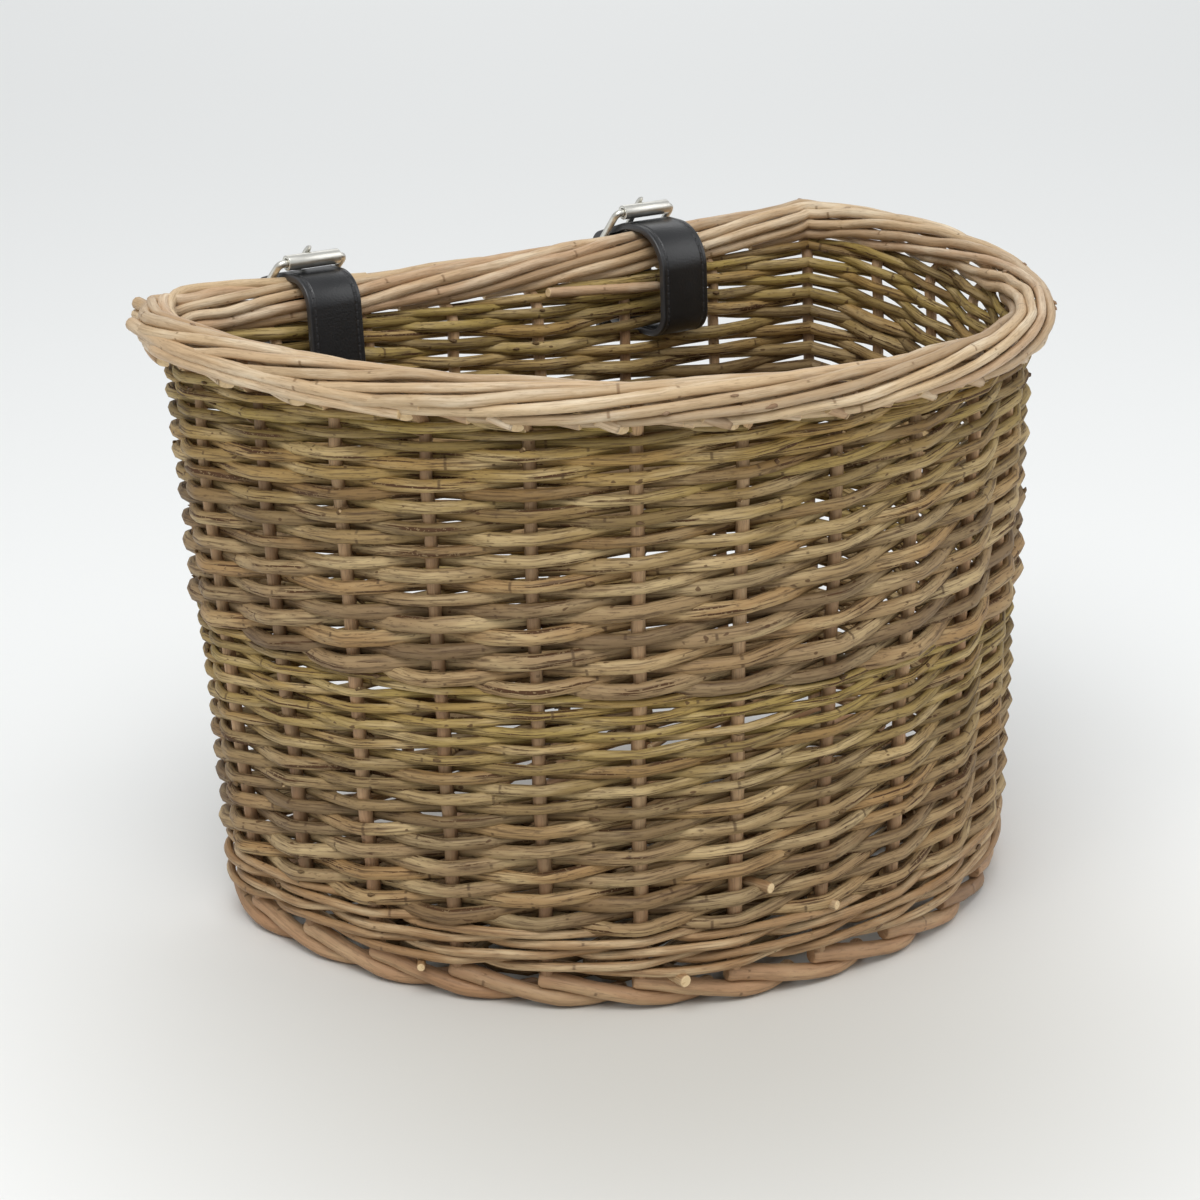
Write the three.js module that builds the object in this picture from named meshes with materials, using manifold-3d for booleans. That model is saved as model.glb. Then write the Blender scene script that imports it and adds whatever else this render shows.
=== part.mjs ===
// Bicycle basket of woven willow with a D-shaped plan. Upright stakes end in a kinked foot border,
// a three-rod wale and two bands of over-one-under-one weaving stand on the foot, a border of six
// rods wraps the rim, and two buckled straps loop over the rim of the flat back.
// Millimetres, +Z up, the flat back towards +Y, the rounded front towards -Y.
import * as THREE from 'three';
import { mergeVertices } from 'three/addons/utils/BufferGeometryUtils.js';
import Module from 'manifold-3d';

const wasm = await Module();
wasm.setup();

// Plan of the stakes at the rim
const rimHalfWidth = 180;
const backCornerInset = 12.4;
const cornerSetback = 30;
const frontReach = 206;
const frontFullness = 2.1;
const frontGaps = 17;
const backGaps = 7;
const backCrowding = 14;

// Plan of the stakes on the floor, and how far the back leans out on its way up
const footHalfWidth = 169;
const footDepth = 203;
const backLean = 30;

// Heights of the levels
const rimHeight = 243;
const rimDip = 4;
const waleBottom = 15;
const lowerBandBottom = 33.5;
const weaveHeadroom = 16.9;

// Rods
const clearance = 0.3;
const stakeFootRadius = 2.9;
const stakeTopRadius = 2.4;
const footRodRadius = 3.5;
const waleThickness = 4.3;
const waleStrands = 3;
const bandStrands = 2;
const weaverThick = 5.8;
const weaverThin = 4.2;
const rowGap = 0.35;

// Foot border: each stake kinks at the foot and runs on beneath its neighbours
const kinkDrop = 3.2;
const kinkLead = 0.12;
const footRun = 1.8;
const footSeat = 1.2;
const footEase = 0.12;

// Rim border
const rimRods = 6;
const rimRodRadius = 2.7;
const rimBundleRadius = 7;
const rimOverhang = 4.5;
const rimStakeClearance = 0.5;
const rimTopReach = 1.5;
const buttLength = 13;
const buttSetback = 0.25;
const buttTurnsFrom = 2.6;
const buttTurnsTo = 0.6;
const endGap = 0.06;

// Base
const baseInset = 8.5;
const baseWeaverWidth = 7;
const baseWeaverHeight = 3.8;
const baseWeaverGap = 0.5;
const baseStickRadius = 2.2;
const baseStickMargin = 22.5;
const baseSticks = 4;
const baseStickSpacing = 70;

// Straps, in a section across the rim: out from the rim's centre towards the back, and up
const strapWidth = 25;
const strapThickness = 3;
const strapCrown = 11.7;
const strapCrownSetback = 3;
const crownRadius = 14;
const outerRunRadius = 8;
const tailDrop = 44;
const foldDrop = 29;
const layerLead = 3;
const layerBend = 6;
const layerBendRadius = 5;
const strapHoleRadius = 2;
const strapHoleSpacing = 12;
const slotGap = 3.5;
const slotRowsDown = 5.04;

// The left strap hugs the rim, the right one hangs looser and its buckle stands further back
const leftStrap = {
  side: 'left',
  x: -98.5,
  bulge: 15.5,
  footBulge: 20.5,
  topRadius: 12,
  footRadius: 4,
  barOut: 16.5,
  barUp: 0.5,
  frameTilt: 45,
};
const rightStrap = {
  side: 'right',
  x: 79.5,
  bulge: 22.5,
  footBulge: 25.5,
  topRadius: 18,
  footRadius: 9,
  barOut: 19.6,
  barUp: -1.6,
  frameTilt: 52,
};

// Buckles
const frameLength = 24;
const wireRadius = 1.6;
const frameInnerWidth = 28;
const rollerRadius = 3.2;
const prongRadius = 1.5;
const prongEyeWidth = 4;
const prongEyeThinning = 0.4;
const prongOverhang = 3;
const prongTipDrop = 0.5;
const prongTaper = 0.9;
const prongTipTaper = 0.6;
const sweepBeyond = 5;
const sweepMargin = 1;
const sweepEndMargin = 0.4;
const prongLift = 8;
const frameSwingIn = 2;
const frameSwingOut = 3;
const keeperHeight = 9;
const keeperWall = 1.8;
const keeperTravelDown = 3;
const keeperTravelUp = 1.5;

// How finely round shapes are drawn, and the smallest sizes that count
const rodSides = 5;
const weaverSides = 4;
const wireSides = 6;
const rollerSides = 14;
const holeSides = 8;
const sectionCurve = 6;
const eyeCurve = 4;
const frameCornerSteps = 2;
const outlineDivisions = 800;
const outlineStep = 0.25;
const mitreLimit = 0.5;
const straightBend = 1e-6;
const weldDistance = 1e-4;
const lapRounding = 1e-3;
const placingPasses = 30;

const up = new THREE.Vector3(0, 0, 1);
const gaps = frontGaps + backGaps;
const backHalfWidth = rimHalfWidth - backCornerInset;
const rimDepth = frontReach + cornerSetback;
const cornerAngle = Math.acos(backHalfWidth / rimHalfWidth);
const sideReach = cornerSetback / Math.sin(cornerAngle);
const degrees = Math.PI / 180;
const crowdingPeak = 27 / 4;

const finishes = {
  peeled: { color: 0xd9b98a, roughness: 0.62, metalness: 0 },
  stake: { color: 0xc79a6c, roughness: 0.66, metalness: 0 },
  bark: { color: 0x8c7a48, roughness: 0.78, metalness: 0 },
  base: { color: 0x86714a, roughness: 0.8, metalness: 0 },
  leather: { color: 0x1c1c1e, roughness: 0.5, metalness: 0 },
  nickel: { color: 0xc9c8c2, roughness: 0.22, metalness: 1 },
};

const basket = new THREE.Group();

function addPiece(name, geometry, finish) {
  const mesh = new THREE.Mesh(geometry, new THREE.MeshStandardMaterial(finishes[finish]));
  mesh.name = name;
  basket.add(mesh);
  return mesh;
}

// The curved side of the plan, from the right back corner round the front to the left back corner
class FrontOutline extends THREE.Curve {
  getPoint(t, target = new THREE.Vector3()) {
    const turn = cornerAngle - t * (Math.PI + 2 * cornerAngle);
    const across = Math.cos(turn);
    const along = Math.sin(turn);
    const behind = along > 0;
    const power = behind ? 1 : 2 / frontFullness;
    const reach = behind ? sideReach : frontReach;
    return target.set(
      rimHalfWidth * Math.sign(across) * Math.abs(across) ** power,
      reach * Math.sign(along) * Math.abs(along) ** power,
      0,
    );
  }
}
const frontOutline = new FrontOutline();
frontOutline.arcLengthDivisions = outlineDivisions;

// The stakes of the back stand unevenly: those beside the right strap are pushed towards the left
function backShift(share) {
  return backCrowding * share * share * (1 - share) * crowdingPeak;
}

// A place on the rim's plan, counted in stakes: 0 is the right back corner, frontGaps the left one
function rimPlan(place) {
  const around = THREE.MathUtils.euclideanModulo(place, gaps);
  if (around <= frontGaps) return frontOutline.getPointAt(around / frontGaps);
  const share = (around - frontGaps) / backGaps;
  const across = THREE.MathUtils.lerp(-backHalfWidth, backHalfWidth, share) - backShift(share);
  return new THREE.Vector3(across, cornerSetback, 0);
}

// The place of a point of the back, from its distance to the right of the middle
function placeOnBack(x) {
  let share = 0.5;
  for (let pass = 0; pass < placingPasses; pass += 1) {
    share = (x + backShift(share) + backHalfWidth) / (2 * backHalfWidth);
  }
  return frontGaps + share * backGaps;
}

// The line of the stakes, which lean from the foot's plan to the rim's
function stakeLine(place, height) {
  const flare = height / rimHeight;
  const plan = rimPlan(place);
  const depthShare = THREE.MathUtils.lerp(footDepth / rimDepth, 1, flare);
  return new THREE.Vector3(
    plan.x * THREE.MathUtils.lerp(footHalfWidth / rimHalfWidth, 1, flare),
    (plan.y - cornerSetback) * depthShare + cornerSetback - backLean * (1 - flare),
    height,
  );
}

const settlingPasses = 4;
const sharpLean = 35 * degrees;
const normalStep = 0.02;
function outward(place, height) {
  const here = stakeLine(place, height);
  const behind = here.clone().sub(stakeLine(place - normalStep, height)).normalize();
  const ahead = stakeLine(place + normalStep, height).sub(here).normalize();
  return new THREE.Vector3().crossVectors(up, ahead.add(behind)).normalize();
}

function besideStakes(place, height, offset) {
  return stakeLine(place, height).addScaledVector(outward(place, height), offset);
}

// Half of the angle that the plan turns through at a stake
function halfTurn(stake) {
  const here = rimPlan(stake);
  const before = here.clone().sub(rimPlan(stake - 1));
  const after = rimPlan(stake + 1).sub(here);
  return before.angleTo(after) / 2;
}

function stakeRadius(height) {
  return THREE.MathUtils.lerp(stakeFootRadius, stakeTopRadius, height / rimHeight);
}

// A rod along points, mitred at each. Its level part takes its section from the vertical, with a
// flat side or an edge down, and the rest carries that section along.
function rod(points, radii, options = {}) {
  const { sides = rodSides, closed = false, squash = 1, edgeDown = false } = options;
  const count = points.length;
  const { levelPoints = count } = options;
  const firstCorner = edgeDown ? 0 : 0.5;
  const positions = [];
  const steps = points.map((point, i) => points[(i + 1) % count].clone().sub(point).normalize());
  let side = null;
  for (let i = 0; i < count; i += 1) {
    const ahead = closed || i < count - 1 ? steps[i] : steps[i - 1];
    const behind = closed || i > 0 ? steps[(i - 1 + count) % count] : steps[0];
    const tangent = ahead.clone().add(behind).normalize();
    if (i < levelPoints) side = new THREE.Vector3().crossVectors(tangent, up).normalize();
    else side.addScaledVector(tangent, -side.dot(tangent)).normalize();
    const rise = new THREE.Vector3().crossVectors(side, tangent).normalize();
    const bend = ahead.clone().sub(behind);
    const halfAngle = ahead.angleTo(behind) / 2;
    const stretch = 1 / Math.max(Math.cos(halfAngle), mitreLimit) - 1;
    if (bend.length() > straightBend) bend.normalize();
    for (let j = 0; j < sides; j += 1) {
      const angle = 2 * Math.PI * (j + firstCorner) / sides - Math.PI / 2;
      const offset = side.clone().multiplyScalar(Math.cos(angle) * radii[i]);
      offset.addScaledVector(rise, Math.sin(angle) * radii[i] * squash);
      offset.addScaledVector(bend, offset.dot(bend) * stretch);
      positions.push(...points[i].clone().add(offset).toArray());
    }
  }
  const faces = [];
  const spans = closed ? count : count - 1;
  for (let i = 0; i < spans; i += 1) {
    const next = (i + 1) % count;
    for (let j = 0; j < sides; j += 1) {
      const a = i * sides + j;
      const b = i * sides + (j + 1) % sides;
      const c = next * sides + (j + 1) % sides;
      const d = next * sides + j;
      faces.push(a, d, b, b, d, c);
    }
  }
  if (!closed) {
    for (let j = 1; j < sides - 1; j += 1) {
      faces.push(0, j, j + 1);
      const last = (count - 1) * sides;
      faces.push(last, last + j + 1, last + j);
    }
  }
  const geometry = new THREE.BufferGeometry();
  geometry.setAttribute('position', new THREE.Float32BufferAttribute(positions, 3));
  geometry.setIndex(faces);
  return geometry;
}

// How far up its rise a row has climbed: rows lie level round the front and climb across the back
function climb(place) {
  const around = THREE.MathUtils.euclideanModulo(place, gaps);
  return Math.floor(place / gaps) + Math.max(0, around - frontGaps) / backGaps;
}

// A weaver passes outside or inside each stake, pressed against it. The more steeply it runs past
// a stake, the further its bend stands off.
function weaver(fromStake, toStake, rowAt, heightAt, thicknessAt, isInside) {
  const stops = [];
  for (let stake = fromStake; stake <= toStake; stake += 1) {
    const row = rowAt(stake);
    const height = heightAt(row, stake);
    const radius = thicknessAt(row) / 2;
    const reach = stakeRadius(height) + radius + clearance;
    const normal = outward(stake, height);
    stops.push({ stake, height, radius, normal, reach: isInside(stake) ? -reach : reach, lean: 0 });
  }
  const pointAt = ({ stake, height, reach, lean }) => besideStakes(stake, height, reach / Math.cos(lean));
  // A sharp bend outside a stake is taken in two, so that the rod hugs it
  const bendAt = (stop) => {
    if (stop.reach < 0 || stop.lean < sharpLean) return [pointAt(stop)];
    return [stop.lean / 2, -stop.lean / 2].map((swing) => {
      const spoke = stop.normal.clone().applyAxisAngle(up, swing);
      return stakeLine(stop.stake, stop.height).addScaledVector(spoke, stop.reach / Math.cos(swing));
    });
  };
  for (let pass = 0; pass < settlingPasses; pass += 1) {
    const points = stops.map(pointAt);
    stops.forEach((stop, i) => {
      const neighbours = [points[i - 1], points[i + 1]].filter(Boolean);
      const leans = neighbours.map((point) => {
        const run = point.clone().sub(points[i]).setZ(0).normalize();
        return Math.abs(Math.asin(run.dot(stop.normal)));
      });
      stop.lean = Math.max(...leans);
    });
  }
  const points = stops.flatMap(bendAt);
  const radii = stops.flatMap((stop) => bendAt(stop).map(() => stop.radius));
  return rod(points, radii, { sides: weaverSides, edgeDown: true });
}

// Three-rod wale: each rod passes outside two stakes and inside one, level with its fellows
const wale = {
  row: (strand) => (stake) => waleStrands * climb(stake) + strand,
  height: (row) => waleBottom + (row + 0.5) * (waleThickness + rowGap),
  thickness: () => waleThickness,
  inside: (strand) => (stake) => THREE.MathUtils.euclideanModulo(stake + strand, waleStrands) === 0,
};
const waleSpans = [
  [0, gaps + frontGaps],
  [Math.ceil(frontGaps + backGaps * 2 / 3) - gaps, frontGaps + Math.floor(backGaps * 2 / 3)],
  [Math.ceil(frontGaps + backGaps / 3) - gaps, frontGaps + Math.floor(backGaps / 3)],
];
waleSpans.forEach(([from, to], strand) => {
  const path = weaver(from, to, wale.row(strand), wale.height, wale.thickness, wale.inside(strand));
  addPiece(`wale_rod_${strand + 1}`, path, 'peeled');
});

// A band of randing: two rods chase each other up, thick at the band's foot and thin at its top.
// Each band has as many whole laps as fit its height, and shares out what is left between its rows.
const bandRise = (rimHeight - weaveHeadroom - lowerBandBottom) / 2;
const upperBandBottom = lowerBandBottom + bandRise;
const meanWeaver = (weaverThick + weaverThin) / 2;
const laps = Math.floor(bandRise / (bandStrands * (meanWeaver + rowGap)) + lapRounding);
const bandRows = laps * bandStrands;
const bandRowGap = bandRise / bandRows - meanWeaver;
const slotRow = bandRows - slotRowsDown;
function bandHeight(bottom, row) {
  const thickest = weaverThick + bandRowGap;
  const thinnest = weaverThin + bandRowGap;
  const level = row + 0.5;
  return bottom + thickest * level + (thinnest - thickest) * level * level / (2 * bandRows);
}
function bandThickness(row) {
  return THREE.MathUtils.lerp(weaverThick, weaverThin, (row + 0.5) / bandRows);
}

// Above the straps' way through, the rows of the back stand higher to leave room for it
function parting(row, stake) {
  const around = THREE.MathUtils.euclideanModulo(stake, gaps);
  const intoBack = Math.min(around - frontGaps, gaps - around);
  const past = (row - slotRow) * backGaps / bandStrands + 0.5;
  return slotGap * THREE.MathUtils.clamp(intoBack, 0, 1) * THREE.MathUtils.clamp(past, 0, 1);
}
const halfBack = Math.floor(backGaps / 2);
const bands = [
  {
    name: 'lower',
    bottom: lowerBandBottom,
    part: () => 0,
    spans: [[0, laps * gaps - 1], [-halfBack, laps * gaps - halfBack - 1]],
  },
  {
    name: 'upper',
    bottom: upperBandBottom,
    part: parting,
    spans: [[0, (laps - 1) * gaps + frontGaps + halfBack], [-halfBack, (laps - 1) * gaps + frontGaps]],
  },
];
bands.forEach((band) => band.spans.forEach(([from, to], strand) => {
  const path = weaver(
    from,
    to,
    (stake) => bandStrands * climb(stake) + strand,
    (row, stake) => bandHeight(band.bottom, row) + band.part(row, stake),
    bandThickness,
    (stake) => THREE.MathUtils.euclideanModulo(stake + strand, bandStrands) === 0,
  );
  addPiece(`weave_${band.name}_${strand + 1}`, path, 'bark');
}));

// The rim's centre line dips along the back between the corners
function rimCentre(place) {
  const around = THREE.MathUtils.euclideanModulo(place, gaps);
  const across = around > frontGaps ? (around - frontGaps) / backGaps : 0;
  const height = rimHeight - rimDip * 4 * across * (1 - across);
  const out = rimOverhang / Math.cos(Number.isInteger(place) ? halfTurn(place) : 0);
  return besideStakes(place, rimHeight, out).setZ(height);
}

// Border rods start inside the rim, rise over it and come down outside, one gap further for each
const freeAngle = Math.asin((stakeTopRadius + rimRodRadius + rimStakeClearance) / rimBundleRadius);
function rimRodOffset(cycle) {
  const turn = THREE.MathUtils.euclideanModulo(cycle, rimRods);
  const share = (turn - 0.5) / (rimRods - 1);
  const arc = freeAngle + share * 2 * (Math.PI - freeAngle);
  const passesBelow = share < 0 || share > 1;
  const nearest = passesBelow ? (turn < 1 ? turn : turn - rimRods) * 2 : 0;
  const out = passesBelow ? -Math.sin(freeAngle) * nearest : -Math.sin(arc);
  const rise = passesBelow ? -1 + (1 - Math.cos(freeAngle)) * Math.abs(nearest) : -Math.cos(arc);
  return [out * rimBundleRadius, rise * rimBundleRadius];
}
function rimRodPoint(place, cycle) {
  const [out, rise] = rimRodOffset(cycle);
  const spread = Number.isInteger(place) ? 1 / Math.cos(halfTurn(place)) : 1;
  return rimCentre(place).addScaledVector(outward(place, rimHeight), out * spread).addScaledVector(up, rise);
}

// A rod bends at each stake, midway round each back corner, and where it crosses beneath the others
const rimCorners = [0, frontGaps, gaps];
function rimRodPoints(from, to, cycleAt) {
  const points = [rimRodPoint(from, cycleAt(from))];
  for (let half = Math.floor(2 * from) + 1; half < 2 * to; half += 1) {
    const place = half / 2;
    const crossesBelow = THREE.MathUtils.euclideanModulo(cycleAt(place), rimRods) === 0;
    const roundsCorner = rimCorners.some((rimCorner) => Math.abs(place - rimCorner) < 1);
    if (Number.isInteger(place) || crossesBelow || roundsCorner) points.push(rimRodPoint(place, cycleAt(place)));
  }
  points.push(rimRodPoint(to, cycleAt(to)));
  return points;
}
for (let rodNumber = 0; rodNumber < rimRods; rodNumber += 1) {
  const cycleAt = (place) => place + rodNumber + 0.5;
  const cycleAtCorner = THREE.MathUtils.euclideanModulo(cycleAt(frontGaps), rimRods);
  const endsOutside = cycleAtCorner > rimRods - buttTurnsFrom && cycleAtCorner < rimRods - buttTurnsTo;
  const start = endsOutside ? frontGaps + buttSetback - gaps : -rodNumber - 0.5 + endGap;
  const end = endsOutside ? frontGaps : start + gaps - 2 * endGap;
  const points = rimRodPoints(start, end, cycleAt);
  if (endsOutside) {
    const [previous, last] = points.slice(-2);
    const run = last.clone().sub(previous).setZ(0).normalize();
    points.push(last.clone().addScaledVector(run, buttLength));
  }
  addPiece(`rim_rod_${rodNumber + 1}`, rod(points, points.map(() => rimRodRadius)), 'peeled');
}

// Stakes: the butt lies in the foot border, where its tip carries the base's edge, kinks up at its
// own place, leans to the rim and cranks outwards into the middle of the border's rods
const footTuck = baseInset + footSeat;
const footLevel = footRodRadius * Math.cos(Math.PI / rodSides);
const kinkHeight = waleBottom - kinkDrop;
for (let stake = 0; stake < gaps; stake += 1) {
  const reach = rimCentre(stake);
  const crankTop = reach.z - rimBundleRadius;
  const footRod = [
    besideStakes(stake - footRun, footLevel, -footTuck),
    besideStakes(stake - 1, footLevel, -footTuck * footEase),
    besideStakes(stake - 0.5, (footLevel + kinkHeight) / 2, 0),
    besideStakes(stake - kinkLead, kinkHeight, 0),
  ];
  const upright = [
    stakeLine(stake, waleBottom),
    stakeLine(stake, crankTop - rimOverhang),
    reach.clone().setZ(crankTop),
    reach.clone().setZ(reach.z + rimTopReach),
  ];
  const radii = footRod.map(() => footRodRadius);
  radii.push(stakeFootRadius, stakeTopRadius, stakeTopRadius, stakeTopRadius);
  const name = `stake_${String(stake + 1).padStart(2, '0')}`;
  addPiece(name, rod([...footRod, ...upright], radii, { levelPoints: footRod.length }), 'stake');
}

// Base: sticks run from back to front, and one weaver goes to and fro over and under them, with its
// turns resting on the foot border
const baseReach = baseStickRadius + baseWeaverHeight / 2 + clearance;
const baseSwing = baseReach / Math.cos(Math.atan2(2 * baseReach, baseStickSpacing));
const baseEdge = footLevel + footRodRadius + clearance + baseWeaverHeight / 2;
const baseLevel = baseEdge + baseSwing;
const baseOutline = [];
for (let place = 0; place <= gaps; place += outlineStep) {
  baseOutline.push(besideStakes(place, baseLevel, -baseInset));
}
function baseHalfWidthAt(y) {
  let reach = 0;
  for (let i = 1; i < baseOutline.length; i += 1) {
    const a = baseOutline[i - 1];
    const b = baseOutline[i];
    if ((a.y - y) * (b.y - y) <= 0 && a.y !== b.y) {
      reach = Math.max(reach, Math.abs(a.x + (b.x - a.x) * (y - a.y) / (b.y - a.y)));
    }
  }
  return reach;
}
const basePitch = baseWeaverWidth + baseWeaverGap;
// The rows go on to the front for as long as they reach well past the middle sticks
const baseNarrowest = baseStickSpacing / 2 + baseStickMargin;
const baseBack = Math.max(...baseOutline.map((point) => point.y)) - clearance;
const rowDepths = [];
for (let y = baseBack - baseWeaverWidth / 2; baseHalfWidthAt(y - basePitch) > baseNarrowest; y -= basePitch) {
  rowDepths.push(y);
}
// Where the weaver turns back between a row and the next
function turnAfter(row) {
  const lastRow = rowDepths.length - 1;
  const behind = rowDepths[Math.max(row, 0)] + baseWeaverWidth / 2;
  const front = rowDepths[Math.min(row + 1, lastRow)] - baseWeaverWidth / 2;
  return Math.min(baseHalfWidthAt(behind), baseHalfWidthAt(front)) - baseWeaverWidth / 2;
}
const basePoints = [];
const stickFronts = new Map();
const stickPlaces = Array.from({ length: baseSticks }, (_, i) => (i - (baseSticks - 1) / 2) * baseStickSpacing);
rowDepths.forEach((y, row) => {
  const forward = row % 2 === 0 ? 1 : -1;
  const start = turnAfter(row - 1);
  const end = turnAfter(row);
  basePoints.push(new THREE.Vector3(-forward * start, y, baseEdge));
  const crossed = stickPlaces.filter((x) => Math.abs(x) < (x * forward > 0 ? end : start) - baseStickMargin);
  if (forward < 0) crossed.reverse();
  crossed.forEach((x) => {
    const stick = stickPlaces.indexOf(x);
    const over = (stick + row) % 2 === 0 ? 1 : -1;
    basePoints.push(new THREE.Vector3(x, y, baseLevel + over * baseSwing));
    stickFronts.set(stick, y - baseWeaverWidth / 2);
  });
  basePoints.push(new THREE.Vector3(forward * end, y, baseEdge));
});
stickPlaces.forEach((x, stick) => {
  const ends = [
    new THREE.Vector3(x, baseBack, baseLevel),
    new THREE.Vector3(x, stickFronts.get(stick), baseLevel),
  ];
  addPiece(`base_stick_${stick + 1}`, rod(ends, [baseStickRadius, baseStickRadius]), 'stake');
});
const baseRadii = basePoints.map(() => baseWeaverWidth / Math.SQRT2);
const flattened = baseWeaverHeight / baseWeaverWidth;
addPiece('base_weaver', rod(basePoints, baseRadii, { sides: weaverSides, squash: flattened }), 'base');

// Solids for cutting and joining
function toSolid(geometry) {
  const bare = geometry.clone();
  bare.deleteAttribute('normal');
  bare.deleteAttribute('uv');
  const merged = mergeVertices(bare, weldDistance);
  return new wasm.Manifold(new wasm.Mesh({
    numProp: 3,
    vertProperties: new Float32Array(merged.attributes.position.array),
    triVerts: new Uint32Array(merged.index.array),
  }));
}
function fromSolid(solid) {
  const mesh = solid.getMesh();
  const geometry = new THREE.BufferGeometry();
  geometry.setAttribute('position', new THREE.Float32BufferAttribute(mesh.vertProperties, 3));
  geometry.setIndex(Array.from(mesh.triVerts));
  return geometry;
}

// A section drawn out from the rim and up is set across the back, centred on x
function acrossBack(shape, width, x, centre, curveSegments = sectionCurve) {
  const geometry = new THREE.ExtrudeGeometry(shape, { depth: width, bevelEnabled: false, curveSegments });
  geometry.translate(0, 0, -width / 2);
  const axes = new THREE.Matrix4().makeBasis(
    new THREE.Vector3(0, 1, 0),
    new THREE.Vector3(0, 0, 1),
    new THREE.Vector3(1, 0, 0),
  );
  geometry.applyMatrix4(axes);
  geometry.translate(x, centre.y, centre.z);
  return geometry;
}

// A path of straight runs with round corners
const pathStep = 20 * degrees;
const shortestRun = 0.05;
function roundedPath(corners) {
  const path = [corners[0].at];
  for (let i = 1; i < corners.length - 1; i += 1) {
    const { at, radius } = corners[i];
    const from = corners[i - 1].at.clone().sub(at).normalize();
    const to = corners[i + 1].at.clone().sub(at).normalize();
    const inner = Math.acos(THREE.MathUtils.clamp(from.dot(to), -1, 1));
    const cut = radius / Math.tan(inner / 2);
    const heart = from.clone().add(to).normalize().multiplyScalar(radius / Math.sin(inner / 2)).add(at);
    const first = from.clone().multiplyScalar(cut).add(at).sub(heart);
    const turn = Math.PI - inner;
    const way = Math.sign(to.cross(from)) || 1;
    const steps = Math.max(1, Math.round(turn / pathStep));
    for (let step = 0; step <= steps; step += 1) {
      const angle = way * turn * step / steps;
      const spoke = first.clone().rotateAround(new THREE.Vector2(), angle);
      path.push(spoke.add(heart));
    }
  }
  path.push(corners[corners.length - 1].at);
  return path.filter((point, i) => i === 0 || point.distanceTo(path[i - 1]) > shortestRun);
}

// The outline of a band of even thickness along a path
function bandOutline(path, thickness) {
  const left = [];
  const right = [];
  path.forEach((point, i) => {
    const before = path[Math.max(i - 1, 0)];
    const after = path[Math.min(i + 1, path.length - 1)];
    const ahead = (i < path.length - 1 ? after.clone().sub(point) : point.clone().sub(before)).normalize();
    const behind = (i > 0 ? point.clone().sub(before) : after.clone().sub(point)).normalize();
    const tangent = ahead.clone().add(behind).normalize();
    const spread = thickness / 2 / Math.max(tangent.dot(ahead), 0.5);
    const normal = new THREE.Vector2(-tangent.y, tangent.x).multiplyScalar(spread);
    left.push(point.clone().add(normal));
    right.push(point.clone().sub(normal));
  });
  return new THREE.Shape([...left, ...right.reverse()]);
}

const backRim = (x) => rimCentre(placeOnBack(x));

// The straps' way through the weave: the lowest height that clears the row below
function slotCentre(x) {
  const place = placeOnBack(x);
  const intoRow = THREE.MathUtils.euclideanModulo(bandStrands * climb(place), 1);
  const rowBelow = Math.floor(slotRow - intoRow) + intoRow;
  const top = bandHeight(upperBandBottom, rowBelow) + bandThickness(rowBelow) / 2;
  return top + rowGap + strapThickness / 2;
}

const foldRadius = wireRadius + clearance + strapThickness / 2;
const layer = strapThickness + clearance;
const tailRadius = foldRadius + layer;
const layerTurn = Math.atan2(2 * foldRadius - layer, layerBend);
const tailLower = layer * Math.tan(layerTurn / 2);
const corner = (out, rise, radius = 0) => ({ at: new THREE.Vector2(out, rise), radius });

// Where a strap's buckle lies in the section, and how its frame leans
function placed(strap) {
  const lean = strap.frameTilt * degrees;
  const tilt = new THREE.Vector2(-Math.cos(lean), Math.sin(lean));
  const tiltOut = new THREE.Vector2(tilt.y, -tilt.x);
  const centre = backRim(strap.x);
  const slot = slotCentre(strap.x) - centre.z;
  return { ...strap, bar: new THREE.Vector2(strap.barOut, strap.barUp), tilt, tiltOut, centre, slot };
}

function strapPath({ bar, bulge, footBulge, topRadius, footRadius, slot }) {
  const crown = new THREE.Vector2(strapCrownSetback, strapCrown);
  const toBar = bar.clone().sub(crown);
  const slope = Math.tan(toBar.angle() + Math.asin(tailRadius / toBar.length()));
  const tailOut = bar.x + tailRadius;
  const innerOut = bar.x - foldRadius;
  const bendTop = bar.y - layerLead;
  const bendFoot = bendTop - layerBend;
  return roundedPath([
    corner(innerOut + 2 * layer, -tailDrop),
    corner(innerOut + 2 * layer, bendFoot - tailLower, layerBendRadius),
    corner(tailOut, bendTop - tailLower, layerBendRadius + layer),
    corner(tailOut, crown.y + slope * (tailOut - crown.x), tailRadius),
    corner(crown.x, crown.y, crownRadius),
    corner(-bulge, strapCrown, topRadius),
    corner(-footBulge, slot, footRadius),
    corner(innerOut, slot, outerRunRadius),
    corner(innerOut, bar.y + foldRadius, foldRadius),
    corner(bar.x + foldRadius, bar.y + foldRadius, foldRadius),
    corner(bar.x + foldRadius, bendTop, layerBendRadius),
    corner(innerOut + layer, bendFoot, layerBendRadius + layer),
    corner(innerOut + layer, -foldDrop),
  ]);
}

function discAround(centre, radius) {
  const shape = new THREE.Shape();
  shape.absarc(centre.x, centre.y, radius, 0, 2 * Math.PI);
  return shape;
}

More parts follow.
